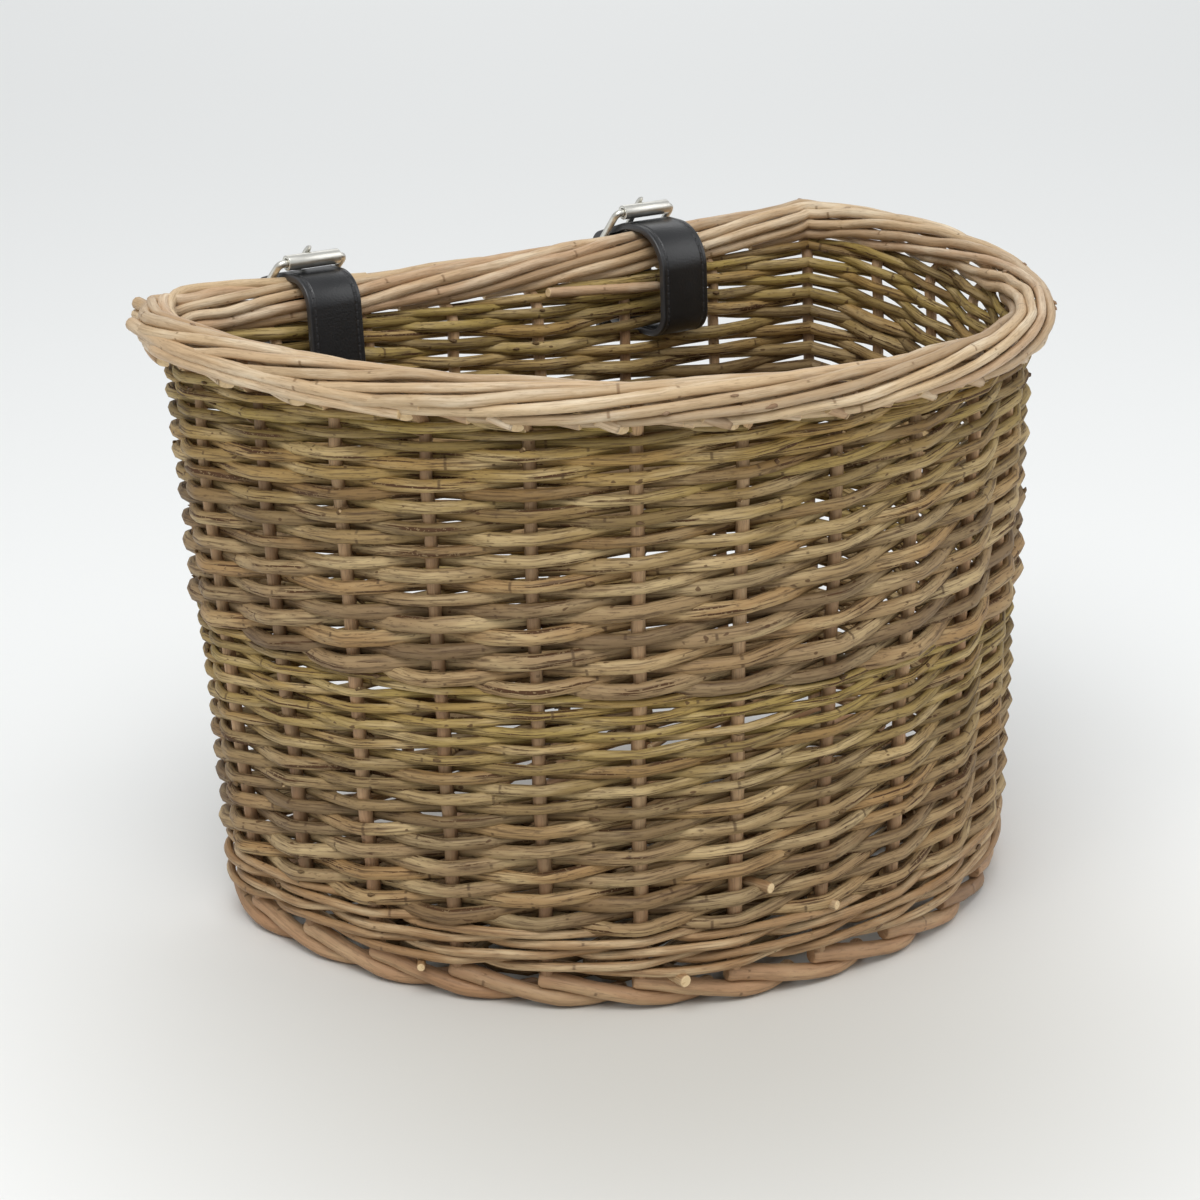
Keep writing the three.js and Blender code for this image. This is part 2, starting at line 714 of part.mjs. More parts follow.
// The room that the prong sweeps as the frame swings and the prong lifts
function prongSweep({ bar, tilt }) {
  const half = prongRadius + 2 * clearance;
  const reach = frameLength + prongOverhang + sweepBeyond;
  const lean = tilt.angle();
  const inner = lean + frameSwingIn * degrees;
  const outer = lean - (frameSwingOut + prongLift) * degrees;
  const eye = foldRadius;
  const at = (angle, along, aside) => new THREE.Vector2(
    bar.x + Math.cos(angle) * along + Math.sin(angle) * aside,
    bar.y + Math.sin(angle) * along - Math.cos(angle) * aside,
  );
  return new THREE.Shape([
    at(inner, 0, eye - half - sweepMargin),
    at(outer, 0, eye + half + sweepMargin),
    at(outer, reach, eye + half + sweepMargin),
    at(inner, reach, eye - half - sweepEndMargin),
  ]);
}

function addStrap(strap) {
  const set = placed(strap);
  const { side, x, centre, bar } = set;
  const outline = bandOutline(strapPath(set), strapThickness);
  let solid = toSolid(acrossBack(outline, strapWidth, x, centre));
  const slitWidth = prongEyeWidth + 2 * clearance;
  const eyeRoom = discAround(bar, wireRadius + 2 * clearance + 2 * prongRadius);
  solid = solid.subtract(toSolid(acrossBack(eyeRoom, slitWidth, x, centre)));
  solid = solid.subtract(toSolid(acrossBack(prongSweep(set), slitWidth, x, centre)));
  for (let hole = 1; hole <= 2; hole += 1) {
    const punch = new THREE.CylinderGeometry(strapHoleRadius, strapHoleRadius, 2 * strapThickness, holeSides);
    const tailOut = bar.x - foldRadius + 2 * layer;
    punch.translate(x, centre.y + tailOut, centre.z - tailDrop + strapHoleSpacing * (hole - 0.5));
    solid = solid.subtract(toSolid(punch));
  }
  addPiece(`strap_${side}`, fromSolid(solid), 'leather');
  addBuckle(set);
  addKeeper(set);
}

// A point of the buckle, from its place across the strap, along the frame and out from it
function onFrame({ x, centre, bar, tilt, tiltOut }, across, along, out) {
  const section = bar.clone().addScaledVector(tilt, along).addScaledVector(tiltOut, out);
  return new THREE.Vector3(x + across, centre.y + section.x, centre.z + section.y);
}

function addBuckle(set) {
  const { side, x, centre, bar } = set;
  const halfWidth = frameInnerWidth / 2 + wireRadius;
  const frameCornerRadius = halfWidth - strapWidth / 2 - clearance;
  const cornerPoints = [];
  [[1, 1], [-1, 1], [-1, -1], [1, -1]].forEach(([across, along], quarter) => {
    for (let step = 0; step <= frameCornerSteps; step += 1) {
      const angle = (quarter + step / frameCornerSteps) * Math.PI / 2;
      const flatAcross = across * (halfWidth - frameCornerRadius) + Math.cos(angle) * frameCornerRadius;
      const atBar = along > 0 ? frameLength - frameCornerRadius : frameCornerRadius;
      cornerPoints.push(onFrame(set, flatAcross, atBar + Math.sin(angle) * frameCornerRadius, 0));
    }
  });
  const wireRadii = cornerPoints.map(() => wireRadius);
  const wire = rod(cornerPoints, wireRadii, { sides: wireSides, levelPoints: 1, closed: true });
  addPiece(`buckle_frame_${side}`, wire, 'nickel');

  const innerRadius = wireRadius + clearance;
  const halfRoller = halfWidth - frameCornerRadius - clearance;
  const tube = new THREE.LatheGeometry([
    new THREE.Vector2(innerRadius, -halfRoller),
    new THREE.Vector2(rollerRadius, -halfRoller),
    new THREE.Vector2(rollerRadius, halfRoller),
    new THREE.Vector2(innerRadius, halfRoller),
    new THREE.Vector2(innerRadius, -halfRoller),
  ], rollerSides);
  tube.rotateZ(-Math.PI / 2);
  tube.translate(...onFrame(set, 0, frameLength, 0).toArray());
  addPiece(`buckle_roller_${side}`, tube, 'nickel');

  const eyeOuter = innerRadius + 2 * prongRadius - prongEyeThinning;
  const eye = discAround(bar, eyeOuter);
  eye.holes.push(new THREE.Path().absarc(bar.x, bar.y, innerRadius, 0, 2 * Math.PI));
  const tineOut = rollerRadius + clearance + prongRadius;
  const tinePoints = [
    onFrame(set, 0, 0, innerRadius + prongRadius),
    onFrame(set, 0, frameLength / 2, (innerRadius + prongRadius + tineOut) / 2),
    onFrame(set, 0, frameLength, tineOut),
    onFrame(set, 0, frameLength + prongOverhang, tineOut - prongTipDrop),
  ];
  const tineRadii = [prongRadius, prongRadius, prongRadius * prongTaper, prongRadius * prongTipTaper];
  const tine = rod(tinePoints, tineRadii, { sides: wireSides, levelPoints: 1 });
  const prong = toSolid(acrossBack(eye, prongEyeWidth, x, centre, eyeCurve)).add(toSolid(tine));
  addPiece(`buckle_prong_${side}`, fromSolid(prong), 'nickel');
}

// The keeper is a leather loop round the three layers below the buckle. It rests where it can slide
// both ways along their straight run.
function addKeeper({ side, x, centre, slot, bar }) {
  const innerOut = bar.x - foldRadius;
  const bendRun = (layerBendRadius + layer) * Math.tan(layerTurn / 2);
  const straightTop = bar.y - layerLead - layerBend - bendRun;
  const straightFoot = slot + outerRunRadius;
  const level = (straightTop + straightFoot + keeperTravelDown - keeperTravelUp) / 2;
  const middle = innerOut + layer;
  const halfAcross = strapWidth / 2 + clearance;
  const halfOut = layer + strapThickness / 2 + clearance;
  const box = (across, out) => {
    const shape = new THREE.Shape();
    shape.moveTo(-across, -out);
    shape.lineTo(across, -out);
    shape.lineTo(across, out);
    shape.lineTo(-across, out);
    shape.closePath();
    return shape;
  };
  const ring = box(halfAcross + keeperWall, halfOut + keeperWall);
  ring.holes.push(box(halfAcross, halfOut));
  const loop = new THREE.ExtrudeGeometry(ring, { depth: keeperHeight, bevelEnabled: false });
  loop.translate(x, centre.y + middle, centre.z + level - keeperHeight / 2);
  addPiece(`strap_keeper_${side}`, loop, 'leather');
}

addStrap(leftStrap);
addStrap(rightStrap);

// The origin is on the floor, below the middle of the whole basket
const whole = new THREE.Box3().setFromObject(basket);
const middle = whole.getCenter(new THREE.Vector3());
basket.children.forEach((mesh) => mesh.position.set(-middle.x, -middle.y, -whole.min.z));

export default basket;
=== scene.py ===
"""Dresses a woven willow bicycle basket: bark-on wall, peeled borders, black straps and nickel buckles."""

import logging
import math
from contextlib import contextmanager
from dataclasses import dataclass
from enum import Enum
from functools import cached_property
from typing import Any, Iterator, Optional, Sequence, Union

import bpy
import numpy as np
from mathutils import Matrix, Vector


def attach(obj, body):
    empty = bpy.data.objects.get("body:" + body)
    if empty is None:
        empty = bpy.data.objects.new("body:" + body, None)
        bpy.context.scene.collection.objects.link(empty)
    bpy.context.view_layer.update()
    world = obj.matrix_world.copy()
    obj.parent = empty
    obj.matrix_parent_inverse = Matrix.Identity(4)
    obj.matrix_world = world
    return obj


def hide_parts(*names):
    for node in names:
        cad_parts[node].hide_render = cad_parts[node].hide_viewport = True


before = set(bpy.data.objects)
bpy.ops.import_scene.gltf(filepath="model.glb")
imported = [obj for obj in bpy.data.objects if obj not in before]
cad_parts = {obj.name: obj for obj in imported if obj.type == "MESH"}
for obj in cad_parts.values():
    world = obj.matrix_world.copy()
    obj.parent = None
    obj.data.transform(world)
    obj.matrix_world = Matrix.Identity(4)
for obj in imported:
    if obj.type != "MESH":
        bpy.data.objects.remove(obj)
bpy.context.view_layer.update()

log = logging.getLogger("basket")
UP = np.array([0.0, 0.0, 1.0])


def unit(vectors: np.ndarray) -> np.ndarray:
    """The same directions at length one."""
    return vectors / np.linalg.norm(vectors, axis=-1, keepdims=True)


def rings(centres: np.ndarray, across: np.ndarray, over: np.ndarray, wide: np.ndarray, high: np.ndarray,
          sides: int) -> np.ndarray:
    """Rings of points round a line.

    Args:
        centres: The line's points.
        across: The direction of each ring's width.
        over: The direction of its height.
        wide: Its half width.
        high: Its half height.
        sides: How many points it has.

    Returns:
        The points, ring by ring.
    """
    spin = 2 * math.pi * np.arange(sides) / sides
    return (centres[:, None] + across[:, None] * (np.cos(spin)[None] * wide[:, None])[..., None]
            + over[:, None] * (np.sin(spin)[None] * high[:, None])[..., None])


# Finishes


class Wire:
    """A socket of a material's graph that takes part in sums like a number."""

    def __init__(self, graph: "Graph", socket: bpy.types.NodeSocket) -> None:
        """Keeps the graph and the socket."""
        self.graph = graph
        self.socket = socket

    def math(self, operation: str, *others: Union["Wire", float]) -> "Wire":
        """Runs a Math node on this value.

        Args:
            operation: The Math node's operation.
            others: Its further operands.

        Returns:
            The node's result.
        """
        inputs = dict(enumerate((self, *others)))
        return self.graph.wire("ShaderNodeMath", {"operation": operation}, inputs)

    def __add__(self, other: Union["Wire", float]) -> "Wire":
        """This value plus another."""
        return self.math("ADD", other)

    __radd__ = __add__

    def __sub__(self, other: Union["Wire", float]) -> "Wire":
        """This value less another."""
        return self.math("SUBTRACT", other)

    def __rsub__(self, other: float) -> "Wire":
        """A number less this value."""
        return self.math("MULTIPLY", -1.0).math("ADD", other)

    def __mul__(self, other: Union["Wire", float]) -> "Wire":
        """This value times another."""
        return self.math("MULTIPLY", other)

    __rmul__ = __mul__

    def __truediv__(self, other: Union["Wire", float]) -> "Wire":
        """This value divided by another."""
        return self.math("DIVIDE", other)

    def __abs__(self) -> "Wire":
        """The size of this value."""
        return self.math("ABSOLUTE")

    def fraction(self) -> "Wire":
        """The part after the decimal point."""
        return self.math("FRACT")

    def ease(self, low: float, high: float, start: float = 0.0, end: float = 1.0) -> "Wire":
        """Rises smoothly from start to end as this value goes from low to high.

        Args:
            low: The value at which the rise begins.
            high: The value at which it is complete.
            start: The result at low.
            end: The result at high.

        Returns:
            The eased value.
        """
        settings = {"interpolation_type": "SMOOTHSTEP"}
        inputs = {0: self, 1: low, 2: high, 3: start, 4: end}
        return self.graph.wire("ShaderNodeMapRange", settings, inputs)


def srgb(code: int) -> tuple[float, float, float, float]:
    """Turns a hex colour, as seen on a screen, into the linear colour of a shader.

    Args:
        code: The colour as 0xRRGGBB.

    Returns:
        Linear red, green, blue and an alpha of one.
    """
    parts = [(code >> shift & 255) / 255 for shift in (16, 8, 0)]
    linear = [c / 12.92 if c <= 0.04045 else ((c + 0.055) / 1.055) ** 2.4 for c in parts]
    return (*linear, 1.0)


class Graph:
    """A material and the nodes behind its shader."""

    def __init__(self, name: str) -> None:
        """Starts a material with one Principled shader.

        Args:
            name: The material's name.
        """
        self.material = bpy.data.materials.new(name)
        self.material.use_nodes = True
        self.tree = self.material.node_tree
        self.tree.nodes.clear()
        self.shader = self.tree.nodes.new("ShaderNodeBsdfPrincipled")
        output = self.tree.nodes.new("ShaderNodeOutputMaterial")
        self.tree.links.new(self.shader.outputs[0], output.inputs["Surface"])

    def node(self, kind: str, settings: Optional[dict] = None,
             inputs: Optional[dict] = None) -> bpy.types.Node:
        """Adds a node.

        Args:
            kind: The node's type.
            settings: Its properties, set first.
            inputs: Values or wires for its sockets, by name or number.

        Returns:
            The new node.
        """
        made = self.tree.nodes.new(kind)
        for key, value in (settings or {}).items():
            setattr(made, key, value)
        for key, value in (inputs or {}).items():
            if isinstance(value, Wire):
                self.tree.links.new(value.socket, made.inputs[key])
            else:
                made.inputs[key].default_value = value
        return made

    def wire(self, kind: str, settings: Optional[dict] = None, inputs: Optional[dict] = None,
             output: Union[int, str] = 0) -> Wire:
        """Adds a node and takes one of its outputs.

        Args:
            kind: The node's type.
            settings: Its properties.
            inputs: Values or wires for its sockets.
            output: The output's name or number.

        Returns:
            The output as a wire.
        """
        return Wire(self, self.node(kind, settings, inputs).outputs[output])

    def attribute(self, name: str) -> Wire:
        """Reads a number that the mesh stores at each point."""
        return self.wire("ShaderNodeAttribute", {"attribute_name": name}, output="Fac")

    def axes(self, x: Union[Wire, float], y: Union[Wire, float], z: Union[Wire, float]) -> Wire:
        """Joins three numbers into a vector."""
        return self.wire("ShaderNodeCombineXYZ", None, {0: x, 1: y, 2: z})

    def scaled(self, vector: Wire, sizes: Sequence[float]) -> Wire:
        """Divides a vector by the size of a pattern along each axis, in metres."""
        per_metre = tuple(1 / size for size in sizes)
        return self.wire("ShaderNodeVectorMath", {"operation": "MULTIPLY"}, {0: vector, 1: per_metre})

    def noise(self, vector: Wire, sizes: Sequence[float], detail: float = 2.0, rough: float = 0.5) -> Wire:
        """Cloudy noise from 0 to 1 whose features have the given sizes.

        Args:
            vector: Where the noise is read.
            sizes: The size of its features along each axis, in metres.
            detail: Layers of finer noise.
            rough: How strong the finer layers are.

        Returns:
            The noise.
        """
        inputs = {"Vector": self.scaled(vector, sizes), "Scale": 1.0, "Detail": detail, "Roughness": rough}
        return self.wire("ShaderNodeTexNoise", {"noise_dimensions": "3D"}, inputs, "Fac")

    def mix(self, share: Union[Wire, float], first: Any, second: Any) -> Wire:
        """Mixes two colours.

        Args:
            share: How much of the second shows.
            first: A colour or a wire.
            second: A colour or a wire.

        Returns:
            The mixed colour.
        """
        settings = {"data_type": "RGBA", "clamp_factor": True}
        return self.wire("ShaderNodeMix", settings, {0: share, 6: first, 7: second}, 2)

    def bump(self, height: Wire, distance: float, strength: float = 1.0) -> Wire:
        """Turns a height into a normal.

        Args:
            height: The height, from 0 to 1.
            distance: How high 1 stands, in metres.
            strength: How much of it shows.

        Returns:
            The bent normal.
        """
        inputs = {"Strength": strength, "Distance": distance, "Height": height}
        return self.wire("ShaderNodeBump", None, inputs)

    def finish(self, colour: Wire, roughness: Union[Wire, float], normal: Optional[Wire] = None,
               **constants: float) -> bpy.types.Material:
        """Connects the shader and hands over the material.

        Args:
            colour: What feeds Base Color.
            roughness: What feeds Roughness.
            normal: What feeds Normal.
            constants: Values for the shader's own sockets, with _ for a space.

        Returns:
            The material.
        """
        for key, value in {"Base Color": colour, "Roughness": roughness, "Normal": normal}.items():
            if isinstance(value, Wire):
                self.tree.links.new(value.socket, self.shader.inputs[key])
            elif value is not None:
                self.shader.inputs[key].default_value = value
        for key, value in constants.items():
            self.shader.inputs[key.replace("_", " ")].default_value = value
        return self.material


@dataclass(frozen=True)
class Willow:
    """The finish of a kind of willow rod, read along and round each rod."""

    name: str
    butt: int
    tip: int
    pale: int
    warm: int
    dark: int
    patch: int
    patches: float
    streaks: float
    ridges: float
    roughness: float
    knots: float = 0.055
    sheen: float = 0.35
    mapped_radius = 0.0026
    shade_shift = 7.3
    cloud_size = (0.045, 0.009, 0.009)
    fibre_size = (0.02, 0.0009, 0.0009)
    grit_size = (0.0048, 0.0008, 0.0008)
    blotch_size = (0.048, 0.002, 0.002)
    speck_size = (0.0011, 0.0009, 0.0009)
    knot_size = (0.02, 0.0022, 0.0022)
    eye_size = (0.0042, 0.0019, 0.0019)
    relief = 0.0006
    wood = 0xE2C79A
    wood_grain = 0xB08A5E

    def dress(self) -> bpy.types.Material:
        """Builds the material: tone by rod, fibre streaks, bark patches, knots, buds and cut ends."""
        graph = Graph(self.name)
        uv = graph.wire("ShaderNodeUVMap", {"uv_map": "UVMap"})
        split = graph.node("ShaderNodeSeparateXYZ", None, {0: uv})
        along, around = Wire(graph, split.outputs[0]), Wire(graph, split.outputs[1])
        shade, tone = graph.attribute("shade"), graph.attribute("tone")
        age, cut, bud = graph.attribute("age"), graph.attribute("cut"), graph.attribute("bud")
        angle = around * (2 * math.pi)
        run = along + shade * self.shade_shift
        place = graph.axes(run, angle.math("COSINE") * self.mapped_radius,
                           angle.math("SINE") * self.mapped_radius)

        cloud = graph.noise(place, self.cloud_size, 3.0, 0.6)
        fibre = graph.noise(place, self.fibre_size, 3.0, 0.65)
        grit = graph.noise(place, self.grit_size, 3.0, 0.62)
        colour = graph.mix(age.ease(0.15, 0.95), srgb(self.butt), srgb(self.tip))
        colour = graph.mix(tone.ease(0.45, 1.0) * 0.65, colour, srgb(self.warm))
        colour = graph.mix(cloud.ease(0.42, 0.72) * 0.75, colour, srgb(self.pale))
        colour = graph.mix(shade.ease(0.55, 1.0) * 0.45, colour, srgb(self.dark))
        colour = graph.mix(fibre.ease(0.44, 0.72) * self.streaks, colour, srgb(self.dark))
        colour = graph.mix(grit.ease(0.54, 0.70) * self.streaks * 0.75, colour, srgb(self.dark))

        blotch = graph.noise(place, self.blotch_size, 4.0, 0.62)
        edge = 0.74 - self.patches * 0.2
        peeling = (blotch + (tone - 0.5) * 0.06).ease(edge, edge + 0.035)
        speck = graph.noise(place, self.speck_size, 1.0)
        bark = graph.mix(speck.ease(0.6, 0.66) * 0.3, srgb(self.patch), srgb(self.pale))
        colour = graph.mix(peeling * min(1.0, self.patches * 1.6), colour, bark)

        ring = abs((run / self.knots).fraction() - 0.5) * self.knots
        partial = graph.noise(place, self.knot_size, 1.0).ease(0.5, 0.58)
        knot = ring.ease(0.0002, 0.0009, 1.0, 0.0) * partial
        colour = graph.mix(knot * 0.7, colour, srgb(self.dark))
        eye = graph.noise(place, self.eye_size, 0.0).ease(0.79, 0.83)
        colour = graph.mix(eye * (0.12 + self.patches), colour, srgb(self.patch))
        colour = graph.mix(bud * 0.7, colour, srgb(self.patch))
        wood = graph.mix(grit.ease(0.45, 0.7) * 0.5, srgb(self.wood), srgb(self.wood_grain))
        colour = graph.mix(cut, colour, wood)

        swelling = ring.ease(0.0, 0.0028, 1.0, 0.0) * partial
        height = fibre * 0.5 * self.ridges + grit * 0.2 * self.ridges + peeling * 0.35 + swelling * 0.6
        normal = graph.bump(height, self.relief, 0.85)
        rough = self.roughness + (cloud - 0.5) * 0.16 + peeling * 0.12
        return graph.finish(colour, rough, normal, Specular_IOR_Level=self.sheen)


class Rods(Enum):
    """The kinds of willow in the basket."""

    BARK = Willow(
        "willow_bark", butt=0x987E5A, tip=0xA48C4C, pale=0xCCB486,
        warm=0xA88250, dark=0x462F19, patch=0x4E3218,
        patches=0.70, streaks=0.85, ridges=1.3, roughness=0.62)
    PEELED = Willow(
        "willow_peeled", butt=0xC8AA84, tip=0xCCB28C, pale=0xE8D8BC,
        warm=0xB69270, dark=0x7A5A38, patch=0x765438,
        patches=0.03, streaks=0.45, ridges=0.8, roughness=0.5, knots=0.075, sheen=0.45)
    WALE = Willow(
        "willow_wale", butt=0x9C7A54, tip=0xA4825A, pale=0xDAC29A,
        warm=0x98744C, dark=0x583E26, patch=0x50361E,
        patches=0.10, streaks=0.6, ridges=1.0, roughness=0.56, knots=0.08, sheen=0.4)
    STAKE = Willow(
        "willow_stake", butt=0xB28C68, tip=0xBC9A72, pale=0xCCAE86,
        warm=0xA27A56, dark=0x644A30, patch=0x56402E,
        patches=0.06, streaks=0.42, ridges=0.8, roughness=0.55, knots=0.09, sheen=0.4)
    BASE = Willow(
        "willow_base", butt=0x86714A, tip=0x8C7A4E, pale=0xA3906A,
        warm=0x94704A, dark=0x46341F, patch=0x3C2C24,
        patches=0.5, streaks=0.6, ridges=1.0, roughness=0.66)


@dataclass(frozen=True)
class CoatedLeather:
    """Smooth black coated leather with a pressed, stitched line along each edge."""

    name: str = "strap_leather"
    colour: int = 0x0C0D10
    thread: int = 0x1D1D20
    half_width: float = 0.0125
    line_inset: float = 0.0026
    line_width: float = 0.0011
    stitch: float = 0.0034
    edge: float = 0.0008
    pebble: float = 0.0009
    wear: float = 0.011
    worn: int = 0x141417
    edge_colour: int = 0x4A4A4C
    relief: float = 0.0005

    def dress(self) -> bpy.types.Material:
        """Builds the material from the strap's own across-and-along map."""
        graph = Graph(self.name)
        uv = graph.wire("ShaderNodeUVMap", {"uv_map": "UVMap"})
        split = graph.node("ShaderNodeSeparateXYZ", None, {0: uv})
        across, along = Wire(graph, split.outputs[0]), Wire(graph, split.outputs[1])
        where = graph.wire("ShaderNodeTexCoord", output="Object")
        cells = {"Vector": graph.scaled(where, (self.pebble,) * 3), "Scale": 1.0}
        pebble = graph.wire("ShaderNodeTexVoronoi", {"feature": "F1"}, cells, "Distance")
        wear = graph.noise(where, (self.wear,) * 3, 3.0)
        from_line = abs(abs(across) - (self.half_width - self.line_inset))
        groove = from_line.ease(0.0, self.line_width, 1.0, 0.0)
        dash = abs((along / self.stitch).fraction() - 0.5).ease(0.3, 0.36, 1.0, 0.0)
        thread = from_line.ease(self.line_width * 0.3, self.line_width * 0.5, 1.0, 0.0) * dash
        rim = abs(across).ease(self.half_width - self.edge, self.half_width)
        colour = graph.mix(wear.ease(0.4, 0.8) * 0.3, srgb(self.colour), srgb(self.worn))
        colour = graph.mix(thread, colour, srgb(self.thread))
        colour = graph.mix(rim * 0.5, colour, srgb(self.edge_colour))
        height = 1.0 - groove * 0.9 + thread * 0.8 - pebble * 0.12
        normal = graph.bump(height, self.relief, 0.8)
        rough = 0.3 + wear * 0.12 + groove * 0.1
        return graph.finish(colour, rough, normal, Specular_IOR_Level=0.65)


@dataclass(frozen=True)
class Nickel:
    """Bright nickel plate with faint rub marks."""

    name: str = "buckle_nickel"
    colour: int = 0xE4E2DA
    dull: int = 0xC4C1B8
    rub_size: tuple[float, float, float] = (0.006, 0.0006, 0.0006)
    cloud: float = 0.004
    relief: float = 0.00005

    def dress(self) -> bpy.types.Material:
        """Builds the material."""
        graph = Graph(self.name)
        where = graph.wire("ShaderNodeTexCoord", output="Object")
        rub = graph.noise(where, self.rub_size, 3.0, 0.6)
        cloud = graph.noise(where, (self.cloud,) * 3, 2.0)
        colour = graph.mix(cloud.ease(0.35, 0.75) * 0.3, srgb(self.colour), srgb(self.dull))
        rough = 0.27 + rub * 0.14
        normal = graph.bump(rub, self.relief, 0.6)
        return graph.finish(colour, rough, normal, Metallic=1.0)


@dataclass(frozen=True)
class Paper:
    """The pale seamless paper that the basket stands on, with a painted soft shadow greying it just in front
    of the basket.
    """

    name: str = "studio_paper"
    colour: int = 0xF1F2F1
    # Painted shadow: its grey, its centre on the floor and the distances over which it fades out.
    painted_shadow: int = 0xCDCBC5
    mottled: int = 0xE8E8E6
    painted_shadow_centre: tuple[float, float, float] = (-0.10, -0.13, 0.0)
    painted_shadow_reach: tuple[float, float] = (0.02, 0.36)
    tooth: float = 0.5

    def dress(self) -> bpy.types.Material:
        """Builds the material: paper tooth and the painted shadow in front of the basket."""
        graph = Graph(self.name)
        where = graph.wire("ShaderNodeTexCoord", output="Object")
        tooth = graph.noise(where, (self.tooth,) * 3, 2.0)
        painted_shadow_distance = graph.wire("ShaderNodeVectorMath", {"operation": "DISTANCE"},
                          {0: where, 1: self.painted_shadow_centre}, "Value")
        colour = graph.mix(tooth * 0.1, srgb(self.colour), srgb(self.mottled))
        # Painted shadow: the paper greys towards a spot just in front of the basket, standing in for its
        # contact shadow.
        colour = graph.mix(painted_shadow_distance.ease(*self.painted_shadow_reach, 1.0, 0.0), colour, srgb(self.painted_shadow))
        return graph.finish(colour, 0.9, Specular_IOR_Level=0.1)


# The basket's plan


@dataclass(frozen=True)
class Plan:
    """The D-shaped plan of the stakes. A place is counted in stakes: 0 is the right back corner,
    front_gaps the left one, and the back runs on from there to gaps. Lengths are in metres."""

    half_width: float = 0.180
    back_half_width: float = 0.1676
    corner_setback: float = 0.030
    front_reach: float = 0.206
    fullness: float = 2.1
    front_gaps: int = 17
    back_gaps: int = 7
    foot_half_width: float = 0.169
    foot_depth: float = 0.203
    back_lean: float = 0.030
    rim_height: float = 0.243
    rim_dip: float = 0.004
    rim_overhang: float = 0.0045
    back_crowding: float = 0.014
    crowding_peak: float = 27 / 4
    centre: tuple[float, float, float] = (0.00000016, 0.07831526, 0.00009559)

    @property
    def gaps(self) -> int:
        """All spaces between stakes."""
        return self.front_gaps + self.back_gaps

    def crowd(self, share: Union[np.ndarray, float]) -> Union[np.ndarray, float]:
        """How far the back's stakes are pushed to the left at a share of its width."""
        return self.back_crowding * share**2 * (1 - share) * self.crowding_peak

    @cached_property
    def curve(self) -> tuple[np.ndarray, np.ndarray]:
        """The curved side's points and how far round each lies, from 0 to 1."""
        corner = math.acos(self.back_half_width / self.half_width)
        turn = corner - np.linspace(0, 1, 4001) * (math.pi + 2 * corner)
        across, along = np.cos(turn), np.sin(turn)
        behind = along > 0
        power = np.where(behind, 1.0, 2 / self.fullness)
        reach = np.where(behind, self.corner_setback / math.sin(corner), self.front_reach)
        points = np.stack([self.half_width * np.sign(across) * np.abs(across) ** power,
                           reach * np.sign(along) * np.abs(along) ** power], axis=1)
        run = np.concatenate([[0], np.cumsum(np.linalg.norm(np.diff(points, axis=0), axis=1))])
        return points, run / run[-1]

    def rim(self, place: np.ndarray) -> np.ndarray:
        """Points of the rim's plan.

        Args:
            place: Places along the rim.

        Returns:
            Their x and y, a row each.
        """
        around = np.mod(place, self.gaps)
        points, run = self.curve
        share = np.clip(around / self.front_gaps, 0, 1)
        back = around > self.front_gaps
        behind = np.where(back, around - self.front_gaps, 0) / self.back_gaps
        across = self.back_half_width * (2 * behind - 1) - self.crowd(behind)
        x = np.where(back, across, np.interp(share, run, points[:, 0]))
        y = np.where(back, self.corner_setback, np.interp(share, run, points[:, 1]))
        return np.stack([x, y], axis=1)

    def line(self, place: np.ndarray, height: np.ndarray) -> np.ndarray:
        """Points on the stakes' lines, which lean from the foot's plan to the rim's.

        Args:
            place: Places along the rim.
            height: A height for each.

        Returns:
            The points, a row each.
        """
        place, height = np.broadcast_arrays(np.asarray(place, float), np.asarray(height, float))
        flare = height / self.rim_height
        plan = self.rim(place)
        foot_share = self.foot_half_width / self.half_width
        depth_share = self.foot_depth / (self.front_reach + self.corner_setback)
        x = plan[:, 0] * (foot_share + (1 - foot_share) * flare)
        y = ((plan[:, 1] - self.corner_setback) * (depth_share + (1 - depth_share) * flare)
             + self.corner_setback - self.back_lean * (1 - flare))
        return np.stack([x, y, height], axis=1) + np.array(self.centre)

    def outward(self, place: np.ndarray, height: np.ndarray, step: float = 0.02) -> np.ndarray:
        """Level directions out of the wall.

        Args:
            place: Places along the rim.
            height: A height for each.
            step: How far to each side the wall's run is taken.

        Returns:
            Unit vectors, a row each.
        """
        place = np.asarray(place, float)
        here = self.line(place, height)
        behind = here - self.line(place - step, height)
        ahead = self.line(place + step, height) - here
        return unit(np.cross(UP, unit(behind) + unit(ahead)))

    def beside(self, place: np.ndarray, height: np.ndarray, offset: np.ndarray) -> np.ndarray:
        """Points at a distance out from the stakes' line.

        Args:
            place: Places along the rim.
            height: A height for each.
            offset: How far out each point lies, less than nothing for inside.

        Returns:
            The points, a row each.
        """
        offset = np.broadcast_to(np.asarray(offset, float), np.shape(place))
        return self.line(place, height) + self.outward(place, height) * offset[:, None]

    def spread(self, place: np.ndarray) -> np.ndarray:
        """How much further out a mitred bend lies at a stake: one over the cosine of half its turn.

        Args:
            place: Places along the rim.

        Returns:
            A factor for each, one between stakes.
        """
        here, before, after = self.rim(place), self.rim(place - 1), self.rim(place + 1)
        a, b = here - before, after - here
        cosine = (a * b).sum(1) / np.linalg.norm(a, axis=1) / np.linalg.norm(b, axis=1)
        turn = np.arccos(np.clip(cosine, -1, 1))
        whole = np.isclose(place, np.round(place))
        return np.where(whole, 1 / np.cos(turn / 2), 1.0)

    def rim_centre(self, place: np.ndarray) -> np.ndarray:
        """The centre line of the rim border, which dips along the back.

        Args:
            place: Places along the rim.

        Returns:
            The points, a row each.
        """
        place = np.asarray(place, float)
        level = np.full(place.shape, self.rim_height)
        centre = self.beside(place, level, self.rim_overhang * self.spread(place))
        centre[:, 2] = self.rim_height - self.dip(place) + self.centre[2]
        return centre

